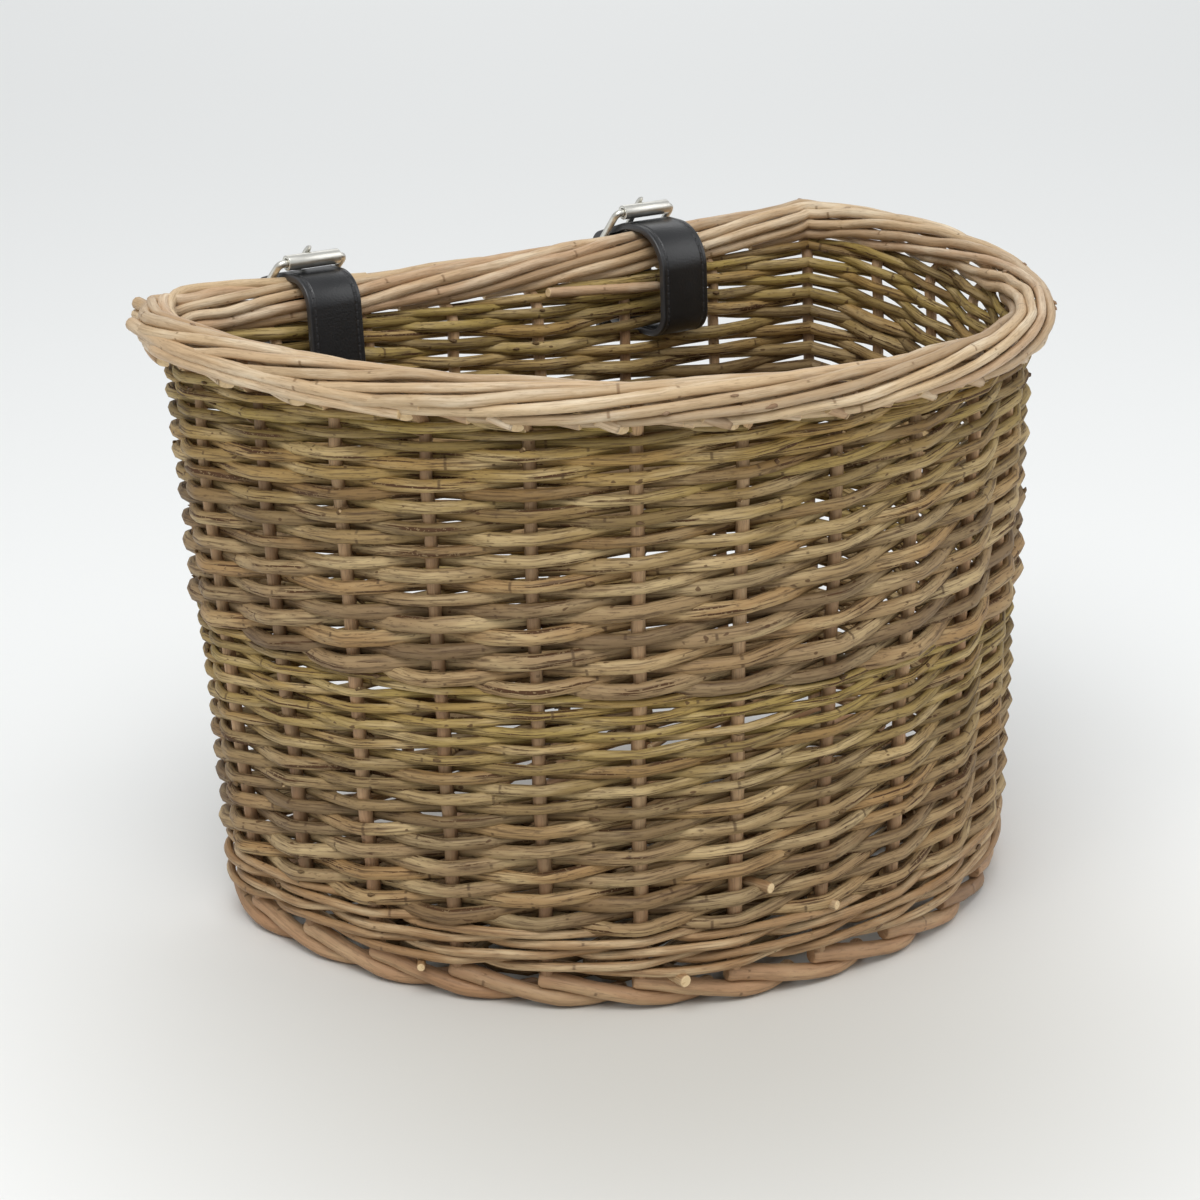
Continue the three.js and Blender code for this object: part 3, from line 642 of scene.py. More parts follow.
    def dip(self, place: np.ndarray) -> np.ndarray:
        """How far the rim hangs, most in the middle of the back.

        Args:
            place: Places along the rim.

        Returns:
            The drop at each.
        """
        around = np.mod(place, self.gaps)
        across = np.clip((around - self.front_gaps) / self.back_gaps, 0, 1)
        return self.rim_dip * 4 * across * (1 - across)

    def place_on_back(self, x: float) -> float:
        """The place of a point of the back.

        Args:
            x: Its distance from the middle, at the rim.

        Returns:
            The place.
        """
        share = 0.5
        for _ in range(30):
            share = (x + self.crowd(share) + self.back_half_width) / (2 * self.back_half_width)
        return self.front_gaps + share * self.back_gaps


# Rods


@dataclass
class Rod:
    """One willow rod through its stations, thick at the butt and thin at the tip."""

    stations: np.ndarray
    radii: np.ndarray
    heights: np.ndarray
    ages: np.ndarray
    seed: int
    samples: int = 5
    sides: int = 8
    upright: bool = False
    buds: float = 0.0
    bevel: float = 0.0005
    slant: float = 0.0
    cut_start: float = 1.0

    def flow(self) -> tuple[np.ndarray, np.ndarray, np.ndarray, np.ndarray]:
        """Runs a smooth curve through the stations.

        Returns:
            Points, half widths, half heights and ages along the rod.
        """
        p = self.stations
        run = np.maximum(np.linalg.norm(np.diff(p, axis=0), axis=1), 1e-6)
        slope = np.diff(p, axis=0) / run[:, None]
        tangent = np.empty_like(p)
        tangent[0], tangent[-1] = slope[0], slope[-1]
        share = (run[:-1] / (run[:-1] + run[1:]))[:, None]
        tangent[1:-1] = slope[:-1] * (1 - share) + slope[1:] * share
        t = np.arange(self.samples) / self.samples
        t = np.tile(t, len(p) - 1)
        i = np.repeat(np.arange(len(p) - 1), self.samples)
        h = run[i][:, None]
        tt = t[:, None]
        points = ((2 * tt**3 - 3 * tt**2 + 1) * p[i] + (tt**3 - 2 * tt**2 + tt) * h * tangent[i]
                  + (3 * tt**2 - 2 * tt**3) * p[i + 1] + (tt**3 - tt**2) * h * tangent[i + 1])
        points = np.vstack([points, p[-1]])
        where = np.concatenate([i + t, [len(p) - 1]])
        spots = np.arange(len(p))
        return (points, np.interp(where, spots, self.radii), np.interp(where, spots, self.heights),
                np.interp(where, spots, self.ages))

    def frames(self, points: np.ndarray) -> tuple[np.ndarray, np.ndarray, np.ndarray]:
        """Directions along, across and over the rod at each point.

        Args:
            points: The rod's points.

        Returns:
            Three arrays of unit vectors.
        """
        tangent = unit(np.gradient(points, axis=0))
        if not self.upright:
            side = np.cross(tangent, UP)
            side /= np.maximum(np.linalg.norm(side, axis=1, keepdims=True), 1e-9)
            return tangent, side, np.cross(side, tangent)
        side = np.empty_like(points)
        side[0] = unit(np.cross(tangent[0], UP))
        for k in range(1, len(points)):
            side[k] = unit(side[k - 1] - tangent[k] * side[k - 1].dot(tangent[k]))
        return tangent, side, np.cross(side, tangent)


def round_rod(points: np.ndarray, radii: Union[np.ndarray, float], ages: Union[np.ndarray, float],
              seed: int, **settings: Any) -> Rod:
    """Makes a rod that is as high as it is wide.

    Args:
        points: Its stations.
        radii: Its radius at each, or one for all.
        ages: Its age at each, or one for all.
        seed: Its seed.
        settings: The rod's further fields.

    Returns:
        The rod.
    """
    radii, ages = (np.broadcast_to(np.asarray(values, float), (len(points),)) for values in (radii, ages))
    return Rod(points, radii, radii, ages, seed, **settings)


class Bundle:
    """Gathers rods and turns them into one piece with a map along and round each rod."""

    end_share = 0.84
    swells = ((0.035, 0.031), (0.02, 0.0127))
    trimmed_share = 0.25
    bud_sizes = (0.0007, 0.0012)
    bud_lengths = (0.003, 0.005)
    stub_lengths = (0.0012, 0.002)
    bud_lean, stub_lean = 0.28, 0.9
    bud_girths, stub_girths = (0.8, 1.0, 0.15), (1.0, 1.0, 0.85)
    bud_rings = (0.0, 0.45, 1.0)
    bud_sides = 5

    def __init__(self) -> None:
        """Starts an empty bundle."""
        self.points: list[np.ndarray] = []
        self.faces: list[list[int]] = []
        self.uvs: list[np.ndarray] = []
        self.flat: list[int] = []
        self.values: dict[str, list[np.ndarray]] = {key: [] for key in ("shade", "tone", "age", "cut", "bud")}
        self.count = 0

    def _keep(self, points: np.ndarray, **values: Union[np.ndarray, float]) -> int:
        """Stores points with their values.

        Args:
            points: The points.
            values: Numbers kept at the points, by their attribute's name.

        Returns:
            The number of the first point.
        """
        first = self.count
        self.points.append(points)
        for key, kept in self.values.items():
            kept.append(np.broadcast_to(np.asarray(values.get(key, 0.0), float), (len(points),)))
        self.count += len(points)
        return first

    def _tube(self, first: int, rings: int, sides: int, along: np.ndarray) -> None:
        """Joins rings of points into a tube closed by a fan at each end.

        Args:
            first: The first ring's first point; the two end points follow the last ring.
            rings: How many rings there are.
            sides: How many points each has.
            along: The distance of each ring along the rod.
        """
        j = np.arange(sides)
        nxt = (j + 1) % sides
        for k in range(rings - 1):
            a, b = first + k * sides, first + (k + 1) * sides
            quads = np.stack([a + j, b + j, b + nxt, a + nxt], axis=1)
            self.faces.extend(quads.tolist())
            u0, u1 = np.full(sides, along[k]), np.full(sides, along[k + 1])
            v0, v1 = j / sides, (j + 1) / sides
            self.uvs.append(np.stack([u0, v0, u1, v0, u1, v1, u0, v1], axis=1).reshape(-1, 2))
            self.flat.extend([0] * sides)
        start, end = first + rings * sides, first + rings * sides + 1
        last = first + (rings - 1) * sides
        for centre, ring, a, b in ((start, first, j, nxt), (end, last, nxt, j)):
            fan = np.stack([np.full(sides, centre), ring + a, ring + b], axis=1)
            self.faces.extend(fan.tolist())
            u = along[0] if ring == first else along[-1]
            self.uvs.append(np.tile(np.stack([np.full(sides, u), j / sides], axis=1), (1, 3)).reshape(-1, 2))
            self.flat.extend([1] * sides)

    def add(self, rod: Rod) -> None:
        """Sweeps a rod's section along it, with cut ends and buds.

        Args:
            rod: The rod.
        """
        chance = np.random.default_rng(rod.seed)
        points, wide, high, ages = rod.flow()
        tangent, side, rise = rod.frames(points)
        steps = np.concatenate([[0], np.cumsum(np.linalg.norm(np.diff(points, axis=0), axis=1))])
        wave = np.ones(len(steps))
        for share, length in self.swells:
            wave += share * np.sin(steps * 2 * math.pi / length + chance.uniform(0, 6.3))
        wide, high = wide * wave, high * wave
        centres = np.vstack([points[0] - tangent[0] * rod.bevel, points,
                             points[-1] + tangent[-1] * rod.bevel])
        pad = lambda values: np.concatenate([values[:1], values, values[-1:]])
        wide, high, ages, steps = pad(wide), pad(high), pad(ages), pad(steps)
        wide[[0, -1]] *= self.end_share
        high[[0, -1]] *= self.end_share
        side, rise = pad(side), pad(rise)
        ring = rings(centres, side, rise, wide, high, rod.sides)
        spin = 2 * math.pi * np.arange(rod.sides) / rod.sides
        ring[-2:] -= tangent[-1] * (rod.slant * np.cos(spin)[:, None] * wide[-2])
        cut = np.zeros(len(centres))
        cut[[0, -1]] = rod.cut_start, 1
        shade, tone = chance.uniform(), chance.uniform()
        body = np.vstack([ring.reshape(-1, 3), centres[[0, -1]]])
        each = lambda values: np.concatenate([np.repeat(values, rod.sides), values[[0, -1]]])
        first = self._keep(body, shade=shade, tone=tone, age=each(ages), cut=each(cut))
        self._tube(first, len(centres), rod.sides, steps)
        if rod.buds:
            self._bud(rod, chance, points, tangent, side[1:-1], rise[1:-1], wide[1:-1], high[1:-1],
                      shade, tone)

    def _bud(self, rod: Rod, chance: np.random.Generator, points: np.ndarray, tangent: np.ndarray,
             side: np.ndarray, rise: np.ndarray, wide: np.ndarray, high: np.ndarray,
             shade: float, tone: float) -> None:
        """Sets small buds and trimmed shoots on a rod's knots.

        Args:
            rod: The rod.
            chance: Its own source of chance.
            points: The rod's points.
            tangent: Its directions.
            side: Directions across it.
            rise: Directions over it.
            wide: Its half widths.
            high: Its half heights.
            shade: The rod's first tone.
            tone: The rod's second tone.
        """
        for _ in range(chance.poisson(rod.buds)):
            k = int(chance.integers(3, len(points) - 3))
            turn = chance.uniform(0, 2 * math.pi)
            out = side[k] * math.cos(turn) + rise[k] * math.sin(turn)
            surface = points[k] + side[k] * math.cos(turn) * wide[k] + rise[k] * math.sin(turn) * high[k]
            trimmed = chance.uniform() < self.trimmed_share
            size = chance.uniform(*self.bud_sizes)
            length = chance.uniform(*(self.stub_lengths if trimmed else self.bud_lengths))
            way = unit(tangent[k] + out * (self.stub_lean if trimmed else self.bud_lean))
            heart = surface - out * size * 0.5
            spots = heart + np.outer(self.bud_rings, way) * length
            girth = size * np.array(self.stub_girths if trimmed else self.bud_girths)
            across = np.tile(unit(np.cross(way, out)), (len(spots), 1))
            ring = rings(spots, across, np.cross(across, way), girth, girth, self.bud_sides)
            body = np.vstack([ring.reshape(-1, 3), spots[[0, -1]]])
            light = np.zeros(len(body))
            light[-1] = 1.0 if trimmed else 0.0
            first = self._keep(body, shade=shade, tone=tone, age=0.5, bud=1 - light, cut=light)
            self._tube(first, len(spots), self.bud_sides, np.linspace(0, length, len(spots)))

    def piece(self, name: str, finish: bpy.types.Material) -> bpy.types.Object:
        """Makes the mesh object.

        Args:
            name: The piece's name.
            finish: Its material.

        Returns:
            The object, at the origin.
        """
        mesh = bpy.data.meshes.new(name)
        mesh.from_pydata(np.vstack(self.points).tolist(), [], self.faces)
        mesh.uv_layers.new(name="UVMap").data.foreach_set("uv", np.vstack(self.uvs).ravel())
        for key, kept in self.values.items():
            mesh.attributes.new(key, "FLOAT", "POINT").data.foreach_set("value", np.concatenate(kept))
        mesh.polygons.foreach_set("use_smooth", np.array(self.flat) == 0)
        mesh.materials.append(finish)
        mesh.update()
        made = bpy.data.objects.new(name, mesh)
        bpy.context.collection.objects.link(made)
        return made


def settle(piece: bpy.types.Object, body: str, slot: str, *nodes: str) -> None:
    """Joins a piece to the frame.

    Args:
        piece: The piece.
        body: The body that it rides on.
        slot: A material slot's name; not used.
        nodes: The nodes that it stands for.
    """
    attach(piece, body)
    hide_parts(*nodes)
    log.info("%s: %d faces on %s", piece.name, len(piece.data.polygons), body)


# Willow sub-assemblies


@dataclass(frozen=True)
class StrapWay:
    """The room that a strap takes where it passes through the wall."""

    place: float
    height: float
    half_gap: float = 0.0021


@dataclass
class Band:
    """A band of randing: one rod starts in each space and climbs a row at each stake."""

    plan: Plan
    name: str
    bottom: float
    top: float
    nodes: tuple[str, ...]
    seed: int
    rows: int = 23
    thick_share: float = 1.2
    foot_pitch: float = 1.26
    bend: float = 0.075
    bend_reach: float = 0.9
    corner_reach: float = 1.04
    hug: float = 0.78
    stake_radius: float = 0.0029
    stake_taper: float = 0.0005
    flatness: float = 0.95
    inside_height: float = 1.14
    thick_wander: float = 0.03
    height_wander: float = 0.00045
    parting_rows: float = 0.62
    parting_height: float = 0.026
    ways: tuple[StrapWay, ...] = ()
    follows_rim: float = 0.0

    def level(self, row: np.ndarray) -> np.ndarray:
        """The height of a row's middle.

        Args:
            row: The row, counted from the band's bottom.

        Returns:
            Its height.
        """
        mean = (self.top - self.bottom) / self.rows
        first, last = mean * self.foot_pitch, mean * (2 - self.foot_pitch)
        steps = np.asarray(row, float) + 0.5
        return self.bottom + first * steps + (last - first) * steps**2 / (2 * self.rows)

    def pitch(self, row: np.ndarray) -> np.ndarray:
        """The spacing of the rows.

        Args:
            row: The row, counted from the band's bottom.

        Returns:
            The spacing there.
        """
        mean = (self.top - self.bottom) / self.rows
        share = (np.asarray(row, float) + 0.5) / self.rows
        return mean * (self.foot_pitch + (2 - 2 * self.foot_pitch) * share)

    def parting(self, rows: np.ndarray, start: int) -> np.ndarray:
        """How far a rod is moved up or down to let the straps through.

        Args:
            rows: How many rows the rod has climbed at each station.
            start: The place of its first stake.

        Returns:
            The moves, in metres.
        """
        moves = np.zeros(len(rows))
        for way in self.ways:
            dip = self.follows_rim * float(self.plan.dip(np.array([way.place]))[0])
            climbed = (start - way.place) % self.plan.gaps
            if climbed > self.rows + 1:
                continue
            crossing = float(self.level(climbed)) - dip
            fit = np.arange(self.rows) + climbed % 1
            crossings = self.level(fit) - dip
            between = (crossings[1:] + crossings[:-1]) / 2
            nearest = between[np.abs(between - way.height).argmin()]
            near = np.clip(1.6 - np.abs(rows - climbed) / self.parting_rows, 0, 1)
            fade = float(np.clip(1 - abs(crossing - way.height) / self.parting_height, 0, 1))
            push = way.half_gap if crossing > nearest else -way.half_gap
            moves += near * fade * (push + way.height - nearest)
        return moves

    def rods(self) -> list[Rod]:
        """The band's rods, each over one stake and under the next, straight from bend to bend."""
        made = []
        for number in range(self.plan.gaps):
            chance = np.random.default_rng(self.seed + number)
            stakes = np.repeat(np.arange(-1, self.rows + 1), 3)
            rows = (stakes + np.tile((-self.bend, 0.0, self.bend), self.rows + 2))[1:-1]
            stakes = stakes[1:-1]
            place = number - rows
            row = np.clip(rows, -0.15, self.rows - 0.8)
            size = chance.uniform(0.84, 1.12)
            wander = np.repeat(chance.normal(0, 1, (2, self.rows + 2)), 3, axis=1)[:, 1:-1]
            thick = self.pitch(row) * self.thick_share * size / 2 * (1 + self.thick_wander * wander[1])
            height = self.level(row) + self.parting(rows, number)
            height += wander[0] * self.height_wander - self.follows_rim * self.plan.dip(place)
            outside = np.where(stakes % 2 == 0, 1.0, -1.0)
            at_stake = rows == stakes
            stake = self.stake_radius - self.stake_taper * height / self.plan.rim_height
            reach = (stake * self.hug + thick * self.hug) * outside * np.where(at_stake, 1.0, self.bend_reach)
            around = np.mod(place, self.plan.gaps)
            corner = np.isclose(around, 0) | np.isclose(around, self.plan.front_gaps)
            reach = np.where(corner & (outside > 0), reach * self.corner_reach, reach)
            stations = self.plan.beside(place, height, reach)
            ages = np.clip(rows / self.rows, 0, 1)
            heights = thick * np.where(outside > 0, 1.0, self.inside_height)
            made.append(Rod(stations, thick * self.flatness, heights, ages, self.seed + 100 + number,
                            samples=4, sides=8, buds=8.0))
        return made

    def make(self, finish: bpy.types.Material) -> None:
        """Weaves the band as one piece.

        Args:
            finish: The bark finish.
        """
        bundle = Bundle()
        for rod in self.rods():
            bundle.add(rod)
        settle(bundle.piece(self.name, finish), "basket", "willow_bark", *self.nodes)


@dataclass
class Wale:
    """Three rods that chase each other twice round the foot, each outside two stakes and inside one."""

    plan: Plan
    bottom: float = 0.015
    top: float = 0.0336
    thickness: float = 0.0037
    slope: float = 0.0008
    dive: float = 0.0028
    hug: float = 0.82
    strands: int = 3
    laps: int = 2
    pegs: tuple[tuple[float, float, float], ...] = ((9.71, 0.049, 0.0023), (8.94, 0.0355, 0.0021),
                                                    (10.58, 0.014, 0.0027), (13.34, 0.0135, 0.0016))
    seed: int = 900
    peg_leads = np.array([0.16, 0.06, 0.0])
    peg_outs = np.array([-0.002, 0.003, 0.0078])

    def climb(self, place: np.ndarray) -> np.ndarray:
        """Laps made so far, with the rise kept to the back.

        Args:
            place: Places along the wale.

        Returns:
            The laps at each.
        """
        gaps, front = self.plan.gaps, self.plan.front_gaps
        around = np.mod(place, gaps)
        return np.floor(place / gaps) + np.maximum(0, around - front) / self.plan.back_gaps

    def make(self, finish: bpy.types.Material) -> None:
        """Weaves the wale as one piece.

        Args:
            finish: The wale's finish.
        """
        gaps, front, back = self.plan.gaps, self.plan.front_gaps, self.plan.back_gaps
        pitch = (self.top - self.bottom) / (self.strands * self.laps)
        half = self.thickness / 2
        bundle = Bundle()
        for strand in range(self.strands):
            chance = np.random.default_rng(self.seed + strand)
            start = math.ceil(front + back * (1 - strand / self.strands)) - gaps
            end = (self.laps - 1) * gaps + front + round(back * (self.strands - 1 - strand) / self.strands)
            place = np.arange(2 * start, 2 * end + 1) / 2
            turn = np.mod(place + 0.5 - strand, self.strands) - 0.5
            whole = np.isclose(place, np.round(place))
            slope = np.interp(turn, (0, 0.5, 1, 1.5, 2, 2.5),
                              (0, self.dive, self.slope, 0, -self.slope, -self.dive))
            slope = np.where(turn < 0, -self.dive, slope)
            height = self.bottom + (self.strands * self.climb(place) + strand + 0.5) * pitch + slope
            height = np.clip(height, self.bottom + half * 0.9, self.top - half * 0.7)
            thick = half * chance.uniform(0.92, 1.06, len(place))
            inside = np.isclose(turn, 0)
            reach = (0.0029 + thick) * self.hug * np.where(inside, -1.0, 1.0)
            beside = np.abs(turn - 1.5) > 0.9
            reach = np.where(whole, reach, np.where(beside, 0.0004, reach * 1.08))
            stations = self.plan.beside(place, height + chance.normal(0, 0.0002, len(place)), reach)
            bundle.add(round_rod(stations, thick, np.linspace(0, 1, len(place)), self.seed + 20 + strand,
                                 samples=6, sides=10, buds=5.0))
        for number, (place, height, radius) in enumerate(self.pegs):
            points = self.plan.beside(place + self.peg_leads, np.full(3, height), self.peg_outs)
            bundle.add(round_rod(points, radius, 0.0, self.seed + 40 + number, samples=4, sides=10))
        names = [f"wale_rod_{strand + 1}" for strand in range(self.strands)]
        settle(bundle.piece("wale", finish), "basket", "willow_peeled", *names)


@dataclass
class RimBorder:
    """The rope-like border: each rod starts inside the rim, crosses over and ends outside, below."""

    plan: Plan
    around: int = 8
    strands: int = 6
    rod_radius: float = 0.00232
    bundle_radius: float = 0.0073
    stake_radius: float = 0.0024
    stake_clearance: float = 0.0005
    butt: float = 0.005
    butt_setback: float = 0.25
    jitter: float = 0.00042
    girths: tuple[float, float] = (0.88, 1.1)
    taper: tuple[float, float] = (1.06, 0.84)
    butt_taper: tuple[float, float] = (0.9, 1.1)
    corner_butts: tuple[tuple[float, float, float, float], ...] = (
        (-0.1868, 0.1046, 0.2444, 0.0030), (-0.1862, 0.0930, 0.2391, 0.0028))
    inner_places: tuple[float, float] = (21.05, 22.3)
    inner_heights: tuple[float, float] = (0.2316, 0.2268)
    inner_depth: float = 0.0075
    inner_radius: float = 0.0022
    seed: int = 300
    tail_leads = np.array((0.26, 0.13, 0.0))
    tail_outs = np.array([[0.0045], [0.0042], [0.0035]])
    tail_drops = np.array((-0.0050, -0.0068, -0.0085))
    tail_radii = (0.0018, 0.0024)
    butt_leads = np.array([4.1, 3.3, 2.5, 1.7, 1.15])
    butt_outs = np.array([[0.0060], [0.0074], [0.0082], [0.0084], [0.0080]])
    butt_rises = np.array([-0.0030, -0.0016, -0.0002, 0.0006, 0.0009])
    butt_girths = np.array([0.72, 0.78, 0.84, 0.9, 0.96, 1.0, 1.0])
    butt_drop, butt_stagger = 0.0034, 0.2
    kink_leads = np.array([2.1, 1.3, 0.62, 0.22, -0.36, -0.9, -1.7, -2.5])
    kink_outs = np.array([[-0.001], [0.001], [0.003], [0.0035], [-0.0056], [-0.0078], [-0.0074], [-0.0050]])
    kink_rises = np.array([0.0074, 0.0088, 0.0094, 0.0088, 0.0050, 0.0018, 0.0010, 0.0030])
    kink_radii = np.linspace(0.0021, 0.0026, 8)
    kink_drops, kink_stagger = (0.0, 0.0036), 0.16

    def offset(self, cycle: np.ndarray) -> tuple[np.ndarray, np.ndarray]:
        """Where a rod lies in the border's section.

        Args:
            cycle: Its place in its turn round the border.

        Returns:
            Distances out and up from the border's centre.
        """
        free = math.asin((self.stake_radius + self.rod_radius + self.stake_clearance) / self.bundle_radius)
        turn = np.mod(cycle, self.around)
        share = (turn - 0.5) / (self.around - 1)
        arc = free + share * 2 * (math.pi - free)
        below = (share < 0) | (share > 1)
        nearest = np.where(below, np.where(turn < 1, turn, turn - self.around) * 2, 0)
        out = np.where(below, -math.sin(free) * nearest, -np.sin(arc))
        rise = np.where(below, -1 + (1 - math.cos(free)) * np.abs(nearest), -np.cos(arc))
        return out * self.bundle_radius, rise * self.bundle_radius

    def stations(self, place: np.ndarray, cycle: np.ndarray) -> np.ndarray:
        """Points of a rod on its way round the border.

        Args:
            place: Its places along the rim.
            cycle: Its place in its turn at each.

        Returns:
            The points, a row each.
        """
        out, rise = self.offset(cycle)
        level = np.full(len(place), self.plan.rim_height)
        points = self.plan.rim_centre(place)
        points += self.plan.outward(place, level) * (out * self.plan.spread(place))[:, None]
        points[:, 2] += rise
        return points

    def lay(self, bundle: Bundle, start: float, end: float, shift: float, number: int, butted: bool) -> None:
        """Lays one rod.

        Args:
            bundle: What it joins.
            start: The place of its butt.
            end: The place of its tip.
            shift: What turns a place into the rod's cycle.
            number: The rod's number.
            butted: Whether it ends in a butt that stands past the corner.
        """
        chance = np.random.default_rng(self.seed + number)
        inner = np.arange(math.floor(2 * start) + 1, math.ceil(2 * end)) / 2
        corners = [spot + turn for turn in (-self.plan.gaps, 0, self.plan.gaps)
                   for spot in (0, self.plan.front_gaps)]
        inner = np.sort(np.concatenate([inner, *(np.array((-0.1, 0.1)) + corner for corner in corners)]))
        place = np.concatenate([[start], inner[(inner > start + 0.15) & (inner < end - 0.15)], [end]])
        points = self.stations(place, place + shift)
        jitter = chance.normal(0, self.jitter, points.shape)
        jitter[[0, -1]] = 0
        points = points + jitter
        size = chance.uniform(*self.girths) * self.rod_radius
        radii = size * np.linspace(*(self.butt_taper if butted else self.taper), len(place))
        if butted:
            before = np.array([end - 1.0, end - 0.5])
            run = np.diff(self.stations(before, before + shift), axis=0)[0]
            run = unit(run * (1, 1, 0))
            points = np.vstack([points, points[-1] + run * self.butt * 0.5, points[-1] + run * self.butt])
            radii = np.append(radii, [radii[-1], radii[-1]])
        ages = np.linspace(0, 1, len(points))
        bundle.add(round_rod(points, radii, ages, self.seed + 40 + number, samples=6, sides=10, buds=1.2))

    def tail(self, bundle: Bundle, stake: int) -> None:
        """Sets the cut end that shows below the border beside a stake.

        Args:
            bundle: What it joins.
            stake: The stake's number.
        """
        chance = np.random.default_rng(self.seed + 80 + stake)
        place = stake + 0.12 + self.tail_leads * chance.uniform(0.8, 1.2) + chance.normal(0, 0.12)
        points = self.plan.rim_centre(place)
        points += self.plan.outward(place, np.full(3, self.plan.rim_height)) * self.tail_outs
        points[:, 2] += self.tail_drops + chance.normal(0, 0.0006)
        radius = chance.uniform(*self.tail_radii)
        bundle.add(round_rod(points, radius, 0.5, self.seed + 120 + stake, samples=4, sides=10, slant=1.3))

    def corner_rods(self, bundle: Bundle) -> None:
        """Lays what shows at the corner: two thick butts that stand past it and two rods kinked round it.

        Args:
            bundle: What they join.
        """
        corner, level = float(self.plan.front_gaps), self.plan.rim_height
        for number, (x, y, z, radius) in enumerate(self.corner_butts):
            place = corner - self.butt_leads + self.butt_stagger * number
            side = self.plan.rim_centre(place) + self.plan.outward(place, np.full(5, level)) * self.butt_outs
            side[:, 2] += self.butt_rises - self.butt_drop * number
            end = np.array([[x, y, z]])
            points = np.vstack([side, side[-1:] * 0.35 + end * 0.65, end])
            bundle.add(round_rod(points, radius * self.butt_girths, np.linspace(0.6, 0.1, 7),
                                 self.seed + 200 + number, sides=12))
        for number, drop in enumerate(self.kink_drops):
            place = corner + self.kink_leads - self.kink_stagger * number
            out = self.plan.outward(place, np.full(8, level))
            points = self.plan.rim_centre(place) + out * self.kink_outs
            points[:, 2] += self.kink_rises - drop
            bundle.add(round_rod(points, self.kink_radii, np.linspace(0.9, 0.4, 8),
                                 self.seed + 220 + number, sides=12))

    def make(self, finish: bpy.types.Material) -> None:
        """Lays the border as one piece, one rod for each stake.

        Args:
            finish: The peeled finish.
        """
        bundle = Bundle()
        corner, gaps = self.plan.front_gaps, self.plan.gaps
        for number in range(gaps):
            self.tail(bundle, number)
            start, end = number - 0.5, number + self.around - 0.42
            shift = 0.5 - number
            crossed = [spot for spot in (corner - gaps, corner, corner + gaps) if start < spot < end]
            turn = crossed[0] + shift if crossed else 0
            if self.around - 2.6 < turn < self.around - 0.6:
                self.lay(bundle, start, crossed[0], shift, number, True)
                self.lay(bundle, crossed[0] + self.butt_setback, end, shift, number + gaps, False)
            else:
                self.lay(bundle, start, end, shift, number, False)
        self.corner_rods(bundle)
        points = self.plan.beside(np.linspace(*self.inner_places, 6), np.linspace(*self.inner_heights, 6),
                                  -self.inner_depth)
        bundle.add(round_rod(points, self.inner_radius, 0.5, self.seed + 180, sides=10))
        names = [f"rim_rod_{rod + 1}" for rod in range(self.strands)]
        settle(bundle.piece("rim_border", finish), "basket", "willow_peeled", *names)


@dataclass
class Stakes:
    """The uprights, each kinked at the foot and run on beneath its neighbours as the foot border."""

    plan: Plan
    foot_radius: float = 0.0035
    low_radius: float = 0.0029
    top_radius: float = 0.0024
    wale_bottom: float = 0.015
    kink_drop: float = 0.0032
    kink_lead: float = -0.05
    run: float = 1.8
    tuck: float = 0.0097
    bundle_radius: float = 0.007
    top_reach: float = 0.0015
    seed: int = 500

    def make(self, finish: bpy.types.Material) -> None:
        """Sets every stake and the foot border as one piece.

        Args:
            finish: The stakes' finish.
        """
        bundle = Bundle()
        level = self.foot_radius * math.cos(math.pi / 5)
        kink = self.wale_bottom - self.kink_drop
        for stake in range(self.plan.gaps):
            chance = np.random.default_rng(self.seed + stake)
            girth = chance.uniform(0.96, 1.04)
            place = stake - np.array([self.run, 1.55, 1.25, 0.6, 0.1, self.kink_lead])
            height = np.array([level, level, level + 0.0003, (level + kink) / 2, kink - 0.0006, kink])
            foot = self.plan.beside(place, height, -np.array([self.tuck, self.tuck * 0.45, 0.0006, 0, 0, 0]))
            foot[:, 2] += (self.foot_radius - level) * np.clip(1 - (height - level) / 0.002, 0, 1)
            radii = self.foot_radius * girth * np.array([0.94, 0.92, 0.9, 0.97, 1.0, 1.0])[::-1]
            bundle.add(round_rod(foot[::-1], radii, 0.0, self.seed + 100 + stake, samples=5, sides=12,
                                 bevel=0.0014, cut_start=0.0))
            reach = self.plan.rim_centre(np.array([float(stake)]))[0]
            crank = reach[2] - self.bundle_radius
            rise = np.linspace(kink, crank - 0.0045, 12)
            upright = self.plan.line(np.full(12, float(stake)), rise)
            upright[1:-1, :2] += chance.normal(0, 0.0003, (10, 2))
            top = np.array([[reach[0], reach[1], crank], [reach[0], reach[1], reach[2] + self.top_reach]])
            radii = np.linspace(self.low_radius, self.top_radius, 14) * girth
            bundle.add(round_rod(np.vstack([upright, top]), radii, np.linspace(0.1, 1, 14),
                                 self.seed + 50 + stake, samples=4, sides=10, upright=True, buds=0.6))
        names = [f"stake_{stake + 1:02d}" for stake in range(self.plan.gaps)]
        settle(bundle.piece("stakes_and_foot_border", finish), "basket", "willow_stake", *names)


